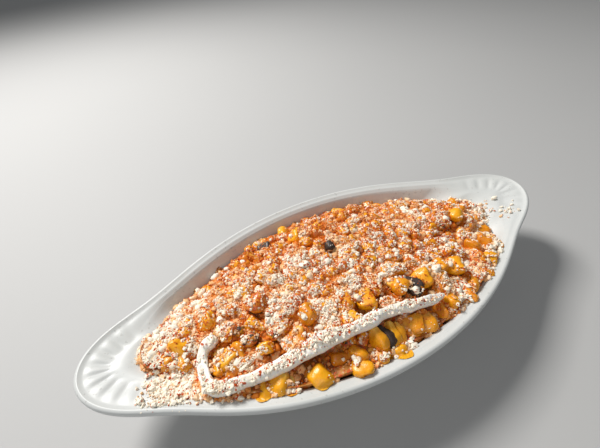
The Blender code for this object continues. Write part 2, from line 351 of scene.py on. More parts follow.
class Effects:
    """Shader node groups that several finishes share."""

    def __init__(self) -> None:
        """Builds each group once."""
        self.specks = self._specks()
        self.powder = self._powder()
        self.grain = self._grain()

    @staticmethod
    def _specks() -> bpy.types.NodeTree:
        """Chili specks: two sizes of noise, kept where they rise over a threshold."""
        wanted = {"Amount": 0.4, "Scale": 900.0}
        tree, graph, start, end = new_group("chili specks", wanted, ["Mask"])
        place = graph.place()
        fine = graph.noise(place, start["Scale"], 1.0)
        wide = graph.noise(place, graph.math("MULTIPLY", start["Scale"], 0.12), 2.0)
        level = graph.math("MULTIPLY_ADD", wide, 0.35, fine)
        edge = graph.math("MULTIPLY_ADD", start["Amount"], -0.36, 0.90)
        upper = graph.math("ADD", edge, 0.06)
        graph.put(end.inputs["Mask"], graph.step(level, edge, upper))
        return tree

    @staticmethod
    def _powder() -> bpy.types.NodeTree:
        """Cheese dust: lies on faces that look up, in clumps from a noise."""
        wanted = {"Amount": 0.4, "Scale": 700.0}
        tree, graph, start, end = new_group("cheese dust", wanted, ["Mask"])
        normal = graph.add("SeparateXYZ", {0: graph.add("NewGeometry").outputs["Normal"]})
        up = graph.step(normal.outputs["Z"], -0.2, 0.75)
        clump = graph.noise(graph.place(), start["Scale"], 3.0, 0.65)
        edge = graph.math("MULTIPLY_ADD", start["Amount"], -0.45, 0.78)
        upper = graph.math("ADD", edge, 0.08)
        mask = graph.math("MULTIPLY", graph.step(clump, edge, upper), up)
        graph.put(end.inputs["Mask"], mask)
        return tree

    @staticmethod
    def _grain() -> bpy.types.NodeTree:
        """Uneven grain: a coarse and a fine noise as height, and the coarse one as variation."""
        wanted = {"Scale": 300.0, "Fine Share": 0.4}
        tree, graph, start, end = new_group("uneven grain", wanted, ["Height", "Variation"])
        place = graph.place()
        coarse = graph.noise(place, start["Scale"], 2.0)
        fine = graph.noise(place, graph.math("MULTIPLY", start["Scale"], 4.3), 2.0)
        height = graph.math("MULTIPLY_ADD", fine, start["Fine Share"], coarse)
        graph.put(end.inputs["Height"], height)
        graph.put(end.inputs["Variation"], coarse)
        return tree


class Finish:
    """Base of the finishes: makes the material and its Principled shader."""

    name: str = "finish"

    def start(self) -> tuple[bpy.types.Material, Graph, bpy.types.Node]:
        """New node material.

        Returns:
            The material, its graph and its Principled BSDF node.
        """
        material = bpy.data.materials.new(self.name)
        material.use_nodes = True
        shader = material.node_tree.nodes["Principled BSDF"]
        return material, Graph(material.node_tree), shader

    @staticmethod
    def fix(shader: bpy.types.Node, **values: object) -> None:
        """Sets shader sockets by name to constants; an underscore stands for a space."""
        for label, value in values.items():
            shader.inputs[label.replace("_", " ")].default_value = value

    @staticmethod
    def bump(graph: Graph, shader: bpy.types.Node, height: object, distance: float,
             strength: float = 1.0) -> None:
        """Feeds a height into the shader's normal through a Bump node."""
        wanted = {"Height": height, "Distance": distance, "Strength": strength}
        graph.put(shader.inputs["Normal"], graph.add("Bump", wanted).outputs[0])


CHILI_RED: Colour = (0.58, 0.085, 0.006)
CHEESE_WHITE: Colour = (0.93, 0.85, 0.71)


@dataclass(frozen=True)
class PorcelainGlaze(Finish):
    """White satin glaze: faint ripple, fine wear in the gloss and a few dark pinholes."""

    name: str = "white porcelain glaze"
    white: Colour = (0.61, 0.625, 0.615)
    shade: Colour = (0.575, 0.59, 0.575)
    speck: Colour = (0.40, 0.40, 0.38)

    def build(self, effects: Effects) -> bpy.types.Material:
        """Material of the dish."""
        material, graph, shader = self.start()
        grain = graph.group(effects.grain, Scale=38.0, Fine_Share=0.2)
        body = graph.mix(graph.step(grain.outputs["Variation"], 0.35, 0.7), self.white, self.shade)
        pit = graph.group(effects.specks, Amount=0.10, Scale=700.0).outputs["Mask"]
        coloured = graph.mix(graph.math("MULTIPLY", pit, 0.5), body, self.speck)
        graph.put(shader.inputs["Base Color"], coloured)
        wear = graph.noise(graph.place(), 160.0, 4.0, 0.6)
        rough = graph.math("MULTIPLY_ADD", graph.step(wear, 0.45, 0.75), 0.12, 0.42)
        graph.put(shader.inputs["Roughness"], rough)
        self.fix(shader, IOR=1.5, Coat_Weight=0.08, Coat_Roughness=0.25)
        self.bump(graph, shader, grain.outputs["Height"], 0.0004, 0.25)
        return material


@dataclass(frozen=True)
class RoastedCorn(Finish):
    """Skin of the kernels: golden, paler at the tip, deeper when roasted, charred in spots.

    It reads the numbers kept with the mesh: tone, along, char and dust.
    """

    name: str = "roasted corn"
    gold: Colour = (0.90, 0.40, 0.006)
    amber: Colour = (0.64, 0.18, 0.006)
    pale: Colour = (0.88, 0.62, 0.16)
    burnt: Colour = (0.035, 0.018, 0.012)

    def build(self, effects: Effects) -> bpy.types.Material:
        """Material of the kernels."""
        material, graph, shader = self.start()
        place = graph.place()
        tone = graph.attribute("tone")
        mottle = graph.noise(place, 260.0, 3.0, 0.6)
        ripe = graph.math("ADD", tone, graph.math("MULTIPLY_ADD", mottle, 0.8, -0.4))
        skin = graph.mix(graph.step(ripe, 0.05, 1.0), self.gold, self.amber)
        tip = graph.step(graph.attribute("along"), 0.42, 0.05)
        skin = graph.mix(graph.math("MULTIPLY", tip, 0.75), skin, self.pale)
        scorch = graph.noise(place, 330.0, 4.0, 0.65)
        mark = graph.step(graph.math("ADD", scorch, graph.attribute("char")), 0.92, 1.08)
        skin = graph.mix(mark, skin, self.burnt)
        dust = graph.attribute("dust")
        chili = graph.group(effects.specks, Amount=dust, Scale=800.0).outputs["Mask"]
        skin = graph.mix(graph.math("MULTIPLY", chili, 0.85), skin, CHILI_RED)
        powder = graph.group(effects.powder, Amount=dust, Scale=620.0).outputs["Mask"]
        skin = graph.mix(graph.math("MULTIPLY", powder, 0.9), skin, CHEESE_WHITE)
        graph.put(shader.inputs["Base Color"], skin)
        dry = graph.math("MAXIMUM", powder, graph.math("MULTIPLY", mark, 0.8))
        sheen = graph.math("MULTIPLY_ADD", mottle, 0.30, 0.18)
        graph.put(shader.inputs["Roughness"], graph.math("MULTIPLY_ADD", dry, 0.4, sheen))
        self.fix(shader, Coat_Weight=0.15, Coat_Roughness=0.12, Subsurface_Weight=0.18,
                 Subsurface_Radius=(1.0, 0.5, 0.12), Subsurface_Scale=0.0016)
        grain = graph.group(effects.grain, Scale=420.0, Fine_Share=0.35)
        raised = graph.math("MULTIPLY_ADD", powder, 0.9, grain.outputs["Height"])
        self.bump(graph, shader, raised, 0.0005, 0.55)
        return material


@dataclass(frozen=True)
class MoistBedWithPaintedShade(Finish):
    """Corn, cheese and chili mixed wet under the loose top, coloured dark brown-orange as painted
    shade for the deep gaps between the kernels.
    """

    name: str = "moist corn bed in painted shade"
    # Painted shade: both colours are kept dark because the bed shows only in the gaps between
    # kernels.
    dark: Colour = (0.24, 0.060, 0.006)
    light: Colour = (0.52, 0.20, 0.025)

    def build(self, effects: Effects) -> bpy.types.Material:
        """Material of the bed under the kernels."""
        material, graph, shader = self.start()
        grain = graph.group(effects.grain, Scale=260.0, Fine_Share=0.6)
        base = graph.mix(graph.step(grain.outputs["Variation"], 0.35, 0.65), self.dark, self.light)
        curd = graph.step(graph.noise(graph.place(), 520.0, 3.0, 0.6), 0.60, 0.68)
        base = graph.mix(graph.math("MULTIPLY", curd, 0.5), base, CHEESE_WHITE)
        chili = graph.group(effects.specks, Amount=0.45, Scale=800.0).outputs["Mask"]
        base = graph.mix(chili, base, CHILI_RED)
        graph.put(shader.inputs["Base Color"], base)
        rough = graph.math("MULTIPLY_ADD", grain.outputs["Variation"], 0.4, 0.3)
        graph.put(shader.inputs["Roughness"], rough)
        self.bump(graph, shader, grain.outputs["Height"], 0.0012, 0.7)
        return material


@dataclass(frozen=True)
class SmoothCrema(Finish):
    """Thick cream: ivory, softly shiny, with chili and cheese stuck to its top."""

    name: str = "poured crema"
    ivory: Colour = (0.95, 0.91, 0.83)
    warm: Colour = (0.93, 0.84, 0.70)

    def build(self, effects: Effects) -> bpy.types.Material:
        """Material of the crema."""
        material, graph, shader = self.start()
        grain = graph.group(effects.grain, Scale=150.0, Fine_Share=0.25)
        tint = graph.step(grain.outputs["Variation"], 0.45, 0.75)
        body = graph.mix(graph.math("MULTIPLY", tint, 0.6), self.ivory, self.warm)
        chili = graph.group(effects.specks, Amount=0.24, Scale=600.0).outputs["Mask"]
        on_top = graph.math("MULTIPLY", chili, graph.attribute("top"))
        graph.put(shader.inputs["Base Color"], graph.mix(on_top, body, CHILI_RED))
        rough = graph.math("MULTIPLY_ADD", grain.outputs["Variation"], 0.25, 0.22)
        graph.put(shader.inputs["Roughness"], rough)
        self.fix(shader, Subsurface_Weight=0.25, Subsurface_Radius=(1.0, 0.8, 0.5),
                 Subsurface_Scale=0.0015)
        raised = graph.math("MULTIPLY_ADD", on_top, 0.3, grain.outputs["Height"])
        self.bump(graph, shader, raised, 0.0006, 0.5)
        return material


@dataclass(frozen=True)
class CrumbledCheese(Finish):
    """Dry crumbly cheese: white, stained orange by the chili, and darker orange as painted shade
    where crumbs lie low between others.
    """

    name: str = "crumbled cheese"
    white: Colour = CHEESE_WHITE
    # peach and stained are steps of one ramp, driven by the chili stain and by painted shade on
    # crumbs lying low.
    peach: Colour = (0.90, 0.55, 0.27)
    stained: Colour = (0.66, 0.19, 0.016)
    specks: float = 0.30

    def build(self, effects: Effects) -> bpy.types.Material:
        """Material of the cheese crumbs."""
        material, graph, shader = self.start()
        # The stain number holds the chili stain plus painted shade for crumbs lying under the
        # smoothed top.
        stain = graph.attribute("stain")
        grain = graph.group(effects.grain, Scale=500.0, Fine_Share=0.5)
        uneven = graph.math("MULTIPLY_ADD", grain.outputs["Variation"], 0.5, -0.25)
        share = graph.math("ADD", stain, uneven, clamp=True)
        body = graph.mix(graph.step(share, 0.10, 0.50), self.white, self.peach)
        body = graph.mix(graph.step(share, 0.45, 0.95), body, self.stained)
        chili = graph.group(effects.specks, Amount=self.specks, Scale=850.0).outputs["Mask"]
        graph.put(shader.inputs["Base Color"], graph.mix(chili, body, CHILI_RED))
        rough = graph.math("MULTIPLY_ADD", grain.outputs["Variation"], 0.3, 0.45)
        graph.put(shader.inputs["Roughness"], rough)
        self.fix(shader, Specular_IOR_Level=0.25)
        self.bump(graph, shader, grain.outputs["Height"], 0.0003, 0.5)
        return material


@dataclass(frozen=True)
class ChiliPowder(Finish):
    """Ground chili: brick red to orange flakes."""

    name: str = "chili powder"
    red: Colour = (0.42, 0.040, 0.004)
    orange: Colour = (0.82, 0.20, 0.010)

    def build(self, effects: Effects) -> bpy.types.Material:
        """Material of the chili flakes."""
        material, graph, shader = self.start()
        grain = graph.group(effects.grain, Scale=1400.0, Fine_Share=0.4)
        uneven = graph.math("MULTIPLY_ADD", grain.outputs["Variation"], 0.6, -0.3)
        share = graph.math("ADD", graph.attribute("stain"), uneven, clamp=True)
        graph.put(shader.inputs["Base Color"], graph.mix(share, self.red, self.orange))
        rough = graph.math("MULTIPLY_ADD", grain.outputs["Variation"], 0.3, 0.4)
        graph.put(shader.inputs["Roughness"], rough)
        self.fix(shader, Specular_IOR_Level=0.15)
        self.bump(graph, shader, grain.outputs["Height"], 0.0001, 0.5)
        return material


# ------------------------------------------------------------------ dish
@dataclass(frozen=True)
class DishShape:
    """Surfaces of the dish as functions of an outline parameter t, in turns of a long oval."""

    half_length: float = 0.115
    rim_height: float = 0.032
    ear_rise: float = 0.0039
    ear_start: float = 0.5
    rim_width: float = 0.0057
    ear_width: float = 0.0120
    rim_edge: float = 0.0034
    rim_round: float = 0.0009
    bead_width: float = 0.0032
    wall_start_drop: float = 0.0020
    ear_start_drop: float = 0.0029
    floor_height: float = 0.0050
    floor_half: tuple[float, float] = (0.050, 0.032)
    lip_undercut: float = 0.0026
    ear_undercut: float = 0.0085
    foot_half: tuple[float, float] = (0.058, 0.037)
    foot_width: float = 0.0032
    foot_recess: float = 0.0012
    outer_turn_height: float = 0.0022
    outline_x: tuple[float, float] = (-0.054, 0.038)
    outline_y: tuple[float, float, float] = (0.398, -0.031, 0.030)

    def outline(self, t: Array) -> Array:
        """Rim's outer edge: an oval with cos 3t, cos 5t, sin 3t and sin 5t terms added."""
        a3, a5 = self.outline_x
        b1, b3, b5 = self.outline_y
        bulge = a3 * (np.cos(3 * t) - np.cos(t)) + a5 * (np.cos(5 * t) - np.cos(t))
        y = b1 * np.sin(t) + b3 * np.sin(3 * t) + b5 * np.sin(5 * t)
        return self.half_length * np.stack([np.cos(t) + bulge, y], axis=-1)

    def inset(self, t: Array, distance: Array) -> Array:
        """Outline moved inwards by a distance, square to itself."""
        step = 1e-4
        along = self.outline(t + step) - self.outline(t - step)
        along /= np.linalg.norm(along, axis=-1, keepdims=True)
        inward = np.stack([-along[..., 1], along[..., 0]], axis=-1)
        return self.outline(t) + inward * np.broadcast_to(distance, t.shape)[..., None]

    def rim_top(self, t: Array) -> Array:
        """Height of the rim: level at the sides, a parabola up to the tips of the ears."""
        reach = np.abs(self.outline(t)[..., 0]) / self.half_length
        share = np.clip((reach - self.ear_start) / (1.0 - self.ear_start), 0.0, 1.0)
        return self.rim_height + self.ear_rise * share ** 2

    def ear(self, t: Array) -> Array:
        """0 along the sides, 1 on the ears."""
        return smooth(0.70, 0.88, np.abs(self.outline(t)[..., 0]) / self.half_length)

    def sized(self, t: Array, at_side: float, at_ear: float) -> Array:
        """A size that changes smoothly from the sides to the ears."""
        return blend(at_side, at_ear, self.ear(t))

    def wall_start(self, t: Array) -> tuple[Array, Array]:
        """Plan and height of the line where the rim turns into the inner wall."""
        plan = self.inset(t, self.sized(t, self.rim_width, self.ear_width))
        drop = self.sized(t, self.wall_start_drop, self.ear_start_drop)
        return plan, self.rim_top(t) - drop

    def inner_wall(self, t: Array, share: Array) -> Array:
        """Inner wall: straight in plan from the rim to the floor oval.

        The height falls by 1 - (1 - s)^1.6 at the sides and by a smooth step at the ears.

        Args:
            t: outline parameters.
            share: s, 0 under the rim and 1 at the flat floor.

        Returns:
            Points of the wall.
        """
        plan, height = self.wall_start(t)
        floor = np.stack([np.cos(t), np.sin(t)], axis=-1) * np.array(self.floor_half)
        share = np.broadcast_to(share, t.shape)
        drop = blend(1.0 - (1.0 - share) ** 1.6, smooth(0.0, 1.0, share), self.ear(t))
        where = blend(plan, floor, share[..., None])
        return np.concatenate([where, blend(height, self.floor_height, drop)[..., None]], -1)

    def outer_wall(self, t: Array, share: float) -> Array:
        """Outer wall from under the rim, share 0, to the foot ring, share 1."""
        plan = self.inset(t, self.sized(t, self.lip_undercut, self.ear_undercut))
        height = self.rim_top(t) - self.rim_edge - 0.0006 - 0.0012 * self.ear(t)
        foot = np.stack([np.cos(t), np.sin(t)], axis=-1) * np.array(self.foot_half)
        round_drop = 1.0 - (1.0 - share) ** 1.5
        slope_drop = float(smooth(0.0, 1.0, np.array(share))) ** 0.85
        drop = blend(round_drop, slope_drop, self.ear(t))
        where = blend(plan, foot, share)
        fallen = blend(height, self.outer_turn_height, drop)
        return np.concatenate([where, fallen[..., None]], -1)


def raised(plan: Array, height: Array) -> Array:
    """Plan points joined with their heights."""
    return np.column_stack([plan, np.broadcast_to(height, len(plan))])


@dataclass
class PorcelainDish:
    """Oval gratin dish with fluted ears, made as one closed shell of rings."""

    shape: DishShape
    flutes_per_ear: int = 11
    flute_depth: float = 0.00045
    flute_start: float = 0.086
    flute_full: float = 0.106
    ear_from_x: float = 0.088
    around: int = 960
    wall_rings: int = 26
    outer_rings: int = 12

    def parameters(self) -> tuple[Array, Array]:
        """Evenly spaced outline parameters, and the flutes' phase at each.

        Returns:
            t of each segment, and the phase, which grows by 1 over each flute.
        """
        fine = np.linspace(0.0, TURN, 8001)
        path = self.shape.outline(fine)
        steps = np.linalg.norm(np.diff(path, axis=0), axis=1)
        run = np.concatenate([[0.0], np.cumsum(steps)])
        quarter = fine < 0.25 * TURN
        ear_end = np.interp(-self.ear_from_x, -path[quarter, 0], run[quarter])
        places = np.arange(self.around) / self.around * run[-1]
        half = 0.5 * run[-1]
        from_tip = np.mod(places + 0.5 * half, half) - 0.5 * half
        phase = (from_tip + ear_end) / (2.0 * ear_end) * self.flutes_per_ear
        return np.interp(places, run, fine), phase

    def flute_dip(self, phase: Array) -> Array:
        """Depth of the flutes: a raised cosine to the power 1.5, with its dip mid-flute."""
        inside = (phase > 0.0) & (phase < self.flutes_per_ear)
        wave = 0.5 + 0.5 * np.cos(TURN * (phase + 0.5))
        return self.flute_depth * np.where(inside, wave ** 1.5, 0.0)

    def rings(self) -> list[Array]:
        """Rings from the inside of the floor over the rim to the underside."""
        shape = self.shape
        t, phase = self.parameters()
        top = shape.rim_top(t)
        tip = smooth(self.flute_start, self.flute_full, np.abs(shape.outline(t)[:, 0]))
        dip = self.flute_dip(phase) * shape.ear(t) * tip
        start, start_height = shape.wall_start(t)
        width = shape.sized(t, shape.rim_width, shape.ear_width)
        bead = shape.sized(t, 0.62 * shape.rim_width, shape.bead_width)
        flute_top = shape.sized(t, 0.0007, 0.0009)
        levels = 1.0 - np.linspace(0.0, 1.0, self.wall_rings, endpoint=False)
        made = [shape.inner_wall(t, level) for level in levels]
        made.append(raised(start, start_height))
        for share in np.linspace(0.0, 1.0, 9)[1:]:
            rise = smooth(-0.25, 1.0, share) - smooth(-0.25, 1.0, 0.0)
            rise = rise / (1.0 - smooth(-0.25, 1.0, 0.0))
            height = start_height + (top - flute_top - start_height) * rise
            trough = dip * math.sin(math.pi * min(share, 0.999)) ** 0.7
            made.append(raised(shape.inset(t, blend(width, bead, share)), height - trough))
        for angle in np.linspace(0.0, 0.5 * math.pi, 7)[1:]:
            back = bead * (1.0 - 0.55 * math.sin(angle))
            rise = flute_top * math.sin(angle) ** 1.3
            made.append(raised(shape.inset(t, back), top - flute_top + rise))
        for angle in np.linspace(0.0, 0.5 * math.pi, 6):
            back = 1.3 * shape.rim_round * (1.0 - math.sin(angle))
            fall = 1.3 * shape.rim_round * (1.0 - math.cos(angle))
            made.append(raised(shape.inset(t, back), top - fall))
        for angle in np.linspace(0.0, 0.5 * math.pi, 5):
            back = shape.rim_round * (1.0 - math.cos(angle))
            fall = shape.rim_edge - shape.rim_round * (1.0 - math.sin(angle))
            made.append(raised(shape.inset(t, back), top - fall))
        outer = np.linspace(0.0, 1.0, self.outer_rings) ** 1.3
        made += [shape.outer_wall(t, float(share)) for share in outer]
        foot = np.column_stack([np.cos(t), np.sin(t)])
        outer_foot = foot * (np.array(shape.foot_half) - 0.0006)
        inner_foot = foot * (np.array(shape.foot_half) - shape.foot_width)
        made.append(raised(foot * (np.array(shape.foot_half) - 0.0002), 0.0006))
        made.append(raised(outer_foot, 0.0))
        made.append(raised(inner_foot, 0.0))
        made.append(raised(inner_foot - 0.0006 * foot, shape.foot_recess))
        return made

    def build(self, glaze: bpy.types.Material) -> bpy.types.Object:
        """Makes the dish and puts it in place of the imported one."""
        made = self.rings()[::-1]
        low = np.array([[0.0, 0.0, self.shape.foot_recess]])
        high = np.array([[0.0, 0.0, self.shape.floor_height]])
        points = np.vstack([low, *made, high])
        faces = capped_faces(len(made), self.around)
        piece = new_mesh("gratin_dish", points, faces, glaze)
        place_piece(piece, "porcelain", "dish")
        return piece


# ------------------------------------------------------------------ heap
@dataclass(frozen=True)
class HeapField:
    """Height of the food over every plan point."""

    dish: DishShape
    crown: float = 0.0120
    edge: float = 0.0030
    centre: tuple[float, float] = (-0.004, -0.001)
    far_share: float = 0.20
    near_share: float = 0.02
    left_share: float = 0.19
    right_share: float = 0.29
    swell_height: float = 0.0011
    swell_length: float = 0.048
    knob_place: tuple[float, float] = (0.050, 0.020)
    knob_radius: float = 0.014
    knob_height: float = 0.0022

    def wall_share(self, t: Array) -> Array:
        """How far down the inner wall the food meets it, all the way round."""
        far = 0.5 + 0.5 * np.sin(t)
        share = blend(self.near_share, self.far_share, smooth(0.25, 0.85, far))
        share = blend(share, self.right_share, smooth(0.55, 0.95, np.cos(t)))
        share = blend(share, self.left_share, smooth(0.55, 0.95, -np.cos(t)))
        return share + 0.012 * np.sin(7.0 * t) + 0.010 * np.sin(12.0 * t + 1.0)

    def rim(self, count: int = 720) -> tuple[Array, Array]:
        """Line round the wall where the heap ends: parameters and points."""
        t = np.arange(count) / count * TURN
        return t, self.dish.inner_wall(t, self.wall_share(t))

    def reach(self, x: Array, y: Array) -> tuple[Array, Array]:
        """Share of the way from the heap's centre to its rim, and the rim's height there."""
        _, rim = self.rim()
        ray = rim[:, :2] - np.array(self.centre)
        angles = np.arctan2(ray[:, 1], ray[:, 0])
        order = np.argsort(angles)
        away = np.hypot(ray[:, 0], ray[:, 1])[order]
        turn = np.arctan2(y - self.centre[1], x - self.centre[0])
        limit = np.interp(turn, angles[order], away, period=TURN)
        height = np.interp(turn, angles[order], rim[order, 2], period=TURN)
        return np.hypot(x - self.centre[0], y - self.centre[1]) / limit, height

    def waves(self, x: Array, y: Array) -> Array:
        """Broad unevenness: five sine waves that run in spread directions."""
        total = np.zeros(np.shape(x))
        for number in range(5):
            angle = 0.4 + 2.4 * number
            wave = TURN / (self.swell_length * (1.0 + 0.13 * number))
            total += np.sin(wave * (x * np.cos(angle) + y * np.sin(angle)) + 1.7 * number)
        return total / 2.6

    def height(self, x: Array, y: Array) -> Array:
        """Height of the heap's top: edge plus rise times (1 - s^2.4)^1.15, swells and a knob."""
        share, wall = self.reach(x, y)
        share = np.minimum(share, 1.0)
        low = wall + self.edge
        top = self.dish.rim_height + self.crown
        dome = low + (top - low) * (1.0 - share ** 2.4) ** 1.15
        knob_share = np.hypot(x - self.knob_place[0], y - self.knob_place[1]) / self.knob_radius
        knob = self.knob_height * (1.0 - smooth(0.0, 1.0, knob_share))
        swell = self.swell_height * self.waves(x, y)
        return dome + (1.0 - smooth(0.80, 1.0, share)) * (swell + knob)

    def normal(self, x: Array, y: Array) -> Array:
        """Upward normal of the heap's top, from height differences 2 mm apart."""
        step = 0.001
        along_x = (self.height(x + step, y) - self.height(x - step, y)) / (2.0 * step)
        along_y = (self.height(x, y + step) - self.height(x, y - step)) / (2.0 * step)
        normal = np.stack([-along_x, -along_y, np.ones(np.shape(x))], axis=-1)
        return normal / np.linalg.norm(normal, axis=-1, keepdims=True)


@dataclass
class CornBed:
    """Core of the heap: follows the bowl below and the heap above, with mixed-in relief."""

    field: HeapField
    gap: float = 0.0005
    sink: float = 0.0062
    relief: float = 0.0018
    around: int = 360
    top_rings: int = 84

    def build(self, finish: bpy.types.Material) -> bpy.types.Object:
        """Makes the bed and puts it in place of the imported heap."""
        t, edge = self.field.rim(self.around)
        share = self.field.wall_share(t)
        rings = []
        for level in (1.0, 0.8, 0.6, 0.4, 0.2, 0.0):
            ring = self.field.dish.inner_wall(t, blend(share, 1.0, level))
            inward = -ring[:, :2] / np.linalg.norm(ring[:, :2], axis=1)[:, None]
            rings.append(ring + self.gap * np.column_stack([inward, np.ones(len(t))]))
        centre = np.array(self.field.centre)
        for step in np.linspace(0.995, 0.0, self.top_rings, endpoint=False):
            plan = centre + step * (edge[:, :2] - centre)
            x, y = plan[:, 0], plan[:, 1]
            flat = in_plane(x, y)
            rough = layered_noise(flat, 0.0032, 5) - 0.5
            lump = layered_noise(flat, 0.008, 9, 2) - 0.5
            deep = self.sink * (1.0 - step ** 8)
            height = self.field.height(x, y) - deep + self.relief * (rough + lump)
            wall = blend(self.field.dish.floor_height, edge[:, 2], step ** 3)
            rings.append(raised(plan, np.maximum(height, wall + 0.001)))
        low = np.array([[0.0, 0.0, self.field.dish.floor_height + self.gap]])
        points = np.vstack([low, *rings, rings[-1].mean(axis=0)[None]])
        faces = capped_faces(len(rings), self.around)
        piece = new_mesh("corn_bed", points, faces, finish)
        place_piece(piece, "corn", "corn_heap")
        return piece


# ------------------------------------------------------------------ crema
@dataclass
class CremaRibbon:
    """Ribbon of crema: a rounded band carried along its middle line, over the heap."""

    field: HeapField
    half_width: float = 0.0023
    thickness: float = 0.0027
    seat: float = 0.0020
    steps: int = 620
    sides: int = 56
    line: tuple[tuple[float, float], ...] = (
        (-0.0632, -0.0106), (-0.0652, -0.0105), (-0.0684, -0.0113), (-0.0707, -0.0141),
        (-0.0717, -0.0183), (-0.0715, -0.0234), (-0.0700, -0.0268), (-0.0654, -0.0287),
        (-0.0612, -0.0296), (-0.0570, -0.0305), (-0.0521, -0.0310), (-0.0464, -0.0315),
        (-0.0404, -0.0316), (-0.0342, -0.0318), (-0.0281, -0.0323), (-0.0223, -0.0332),
        (-0.0174, -0.0338), (-0.0118, -0.0342), (-0.0049, -0.0341), (0.0019, -0.0346),
        (0.0084, -0.0358), (0.0150, -0.0370), (0.0206, -0.0377), (0.0250, -0.0378),
    )

    def middle(self, share: Array) -> Array:
        """Middle line in plan."""
        return curve_through(np.array(self.line), share)

    def distance(self, x: Array, y: Array) -> tuple[Array, Array, Array]:
        """Where plan points lie from the middle line.

        Args:
            x: plan coordinates.
            y: plan coordinates.

        Returns:
            The distance, the step across the line, positive to the left of its run, and
            the share of the line's run at the nearest place.
        """
        share = np.linspace(0.0, 1.0, 240)
        line = self.middle(share)
        along = np.gradient(line, axis=0)
        along /= np.linalg.norm(along, axis=1)[:, None]
        gap = np.stack([np.ravel(x), np.ravel(y)], axis=-1)[:, None] - line
        nearest = np.hypot(gap[..., 0], gap[..., 1]).argmin(axis=1)
        gap = gap[np.arange(len(nearest)), nearest]
        across = along[nearest, 0] * gap[:, 1] - along[nearest, 1] * gap[:, 0]
        shape = np.shape(x)
        away = np.hypot(gap[:, 0], gap[:, 1])
        return away.reshape(shape), across.reshape(shape), share[nearest].reshape(shape)

    def widening(self, share: Array, plan: Array) -> tuple[Array, Array]:
        """Uneven width and thickness along the ribbon, tapered at both ends."""
        taper = np.sqrt(smooth(-0.01, 0.08, share) * smooth(-0.01, 0.12, 1.0 - share))
        taper = np.maximum(taper, 0.12)
        flat = in_plane(plan[:, 0], plan[:, 1])
        wide = 0.45 + 1.1 * layered_noise(flat, 0.008, 21)
        thick = 0.62 + 0.7 * layered_noise(flat, 0.006, 27)
        pool = np.exp(-((plan[:, 0] + 0.026) / 0.006) ** 2)
        return taper * (wide + 0.35 * pool), taper * thick

    def build(self, finish: bpy.types.Material) -> bpy.types.Object:
        """Makes the ribbon: section cos a across and a clipped sine up, swept along the line."""
        share = np.linspace(0.0, 1.0, self.steps)
        middle = self.middle(share)
        along = np.gradient(middle, axis=0)
        along /= np.linalg.norm(along, axis=1)[:, None]
        across = np.column_stack([-along[:, 1], along[:, 0]])
        wide, thick = self.widening(share, middle)
        angle = np.arange(self.sides) / self.sides * TURN
        side = np.sign(np.cos(angle)) * np.abs(np.cos(angle)) ** 0.85
        spread = (self.half_width * wide)[:, None] * side
        plan = middle[:, None, :] + across[:, None, :] * spread[..., None]
        up = np.where(np.sin(angle) > 0, np.abs(np.sin(angle)) ** 0.8, 0.0)
        down = np.where(np.sin(angle) < 0, np.abs(np.sin(angle)), 0.0)
        lip = 0.30 + 0.70 * up
        lift = (self.thickness * thick)[:, None] * (lip - 0.30 * down) - self.seat * down
        ground = self.field.height(plan[..., 0], plan[..., 1])
        level = self.field.height(middle[:, 0], middle[:, 1])[:, None]
        ground = np.maximum(ground, blend(ground, level, 0.45))
        points = np.concatenate([plan, (ground + lift)[..., None]], axis=-1)
        rough = layered_noise(points, 0.0024, 33) - 0.5
        fold = layered_noise(points, 0.0060, 37, 2) - 0.5
        points[..., 2] += (0.0012 * rough + 0.0016 * fold) * up * np.sqrt(thick)[:, None]
        top = np.broadcast_to(smooth(0.35, 0.85, up), ground.shape).ravel()
        ends = [points[0].mean(axis=0)[None], points[-1].mean(axis=0)[None]]
        body = np.vstack([ends[0], points.reshape(-1, 3), ends[1]])
        faces = capped_faces(self.steps, self.sides)
        values = {"top": np.concatenate([[1.0], top, [1.0]])}
        piece = new_mesh("crema_ribbon", body, faces, finish, values=values)
        place_piece(piece, "crema", "crema")
        return piece


# ------------------------------------------------------------------ kernels
@dataclass(frozen=True)
class HeroKernel:
    """A kernel that lies bare, at a chosen place.

    x and y are its plan place, lean is the angle of its crown from the heap's normal,
    heading is the direction of the lean and spin turns it about its own axis, all three in
    degrees.  lift is how far its top stands over the heap; size and girth scale it; roast,
    char and dust set its skin.
    """

    x: float
    y: float
    lean: float
    heading: float
    lift: float
    roast: float = 0.3
    char: float = 0.0
    size: float = 1.0
    girth: float = 1.0
    spin: float = 10.0
    dust: float = 0.12


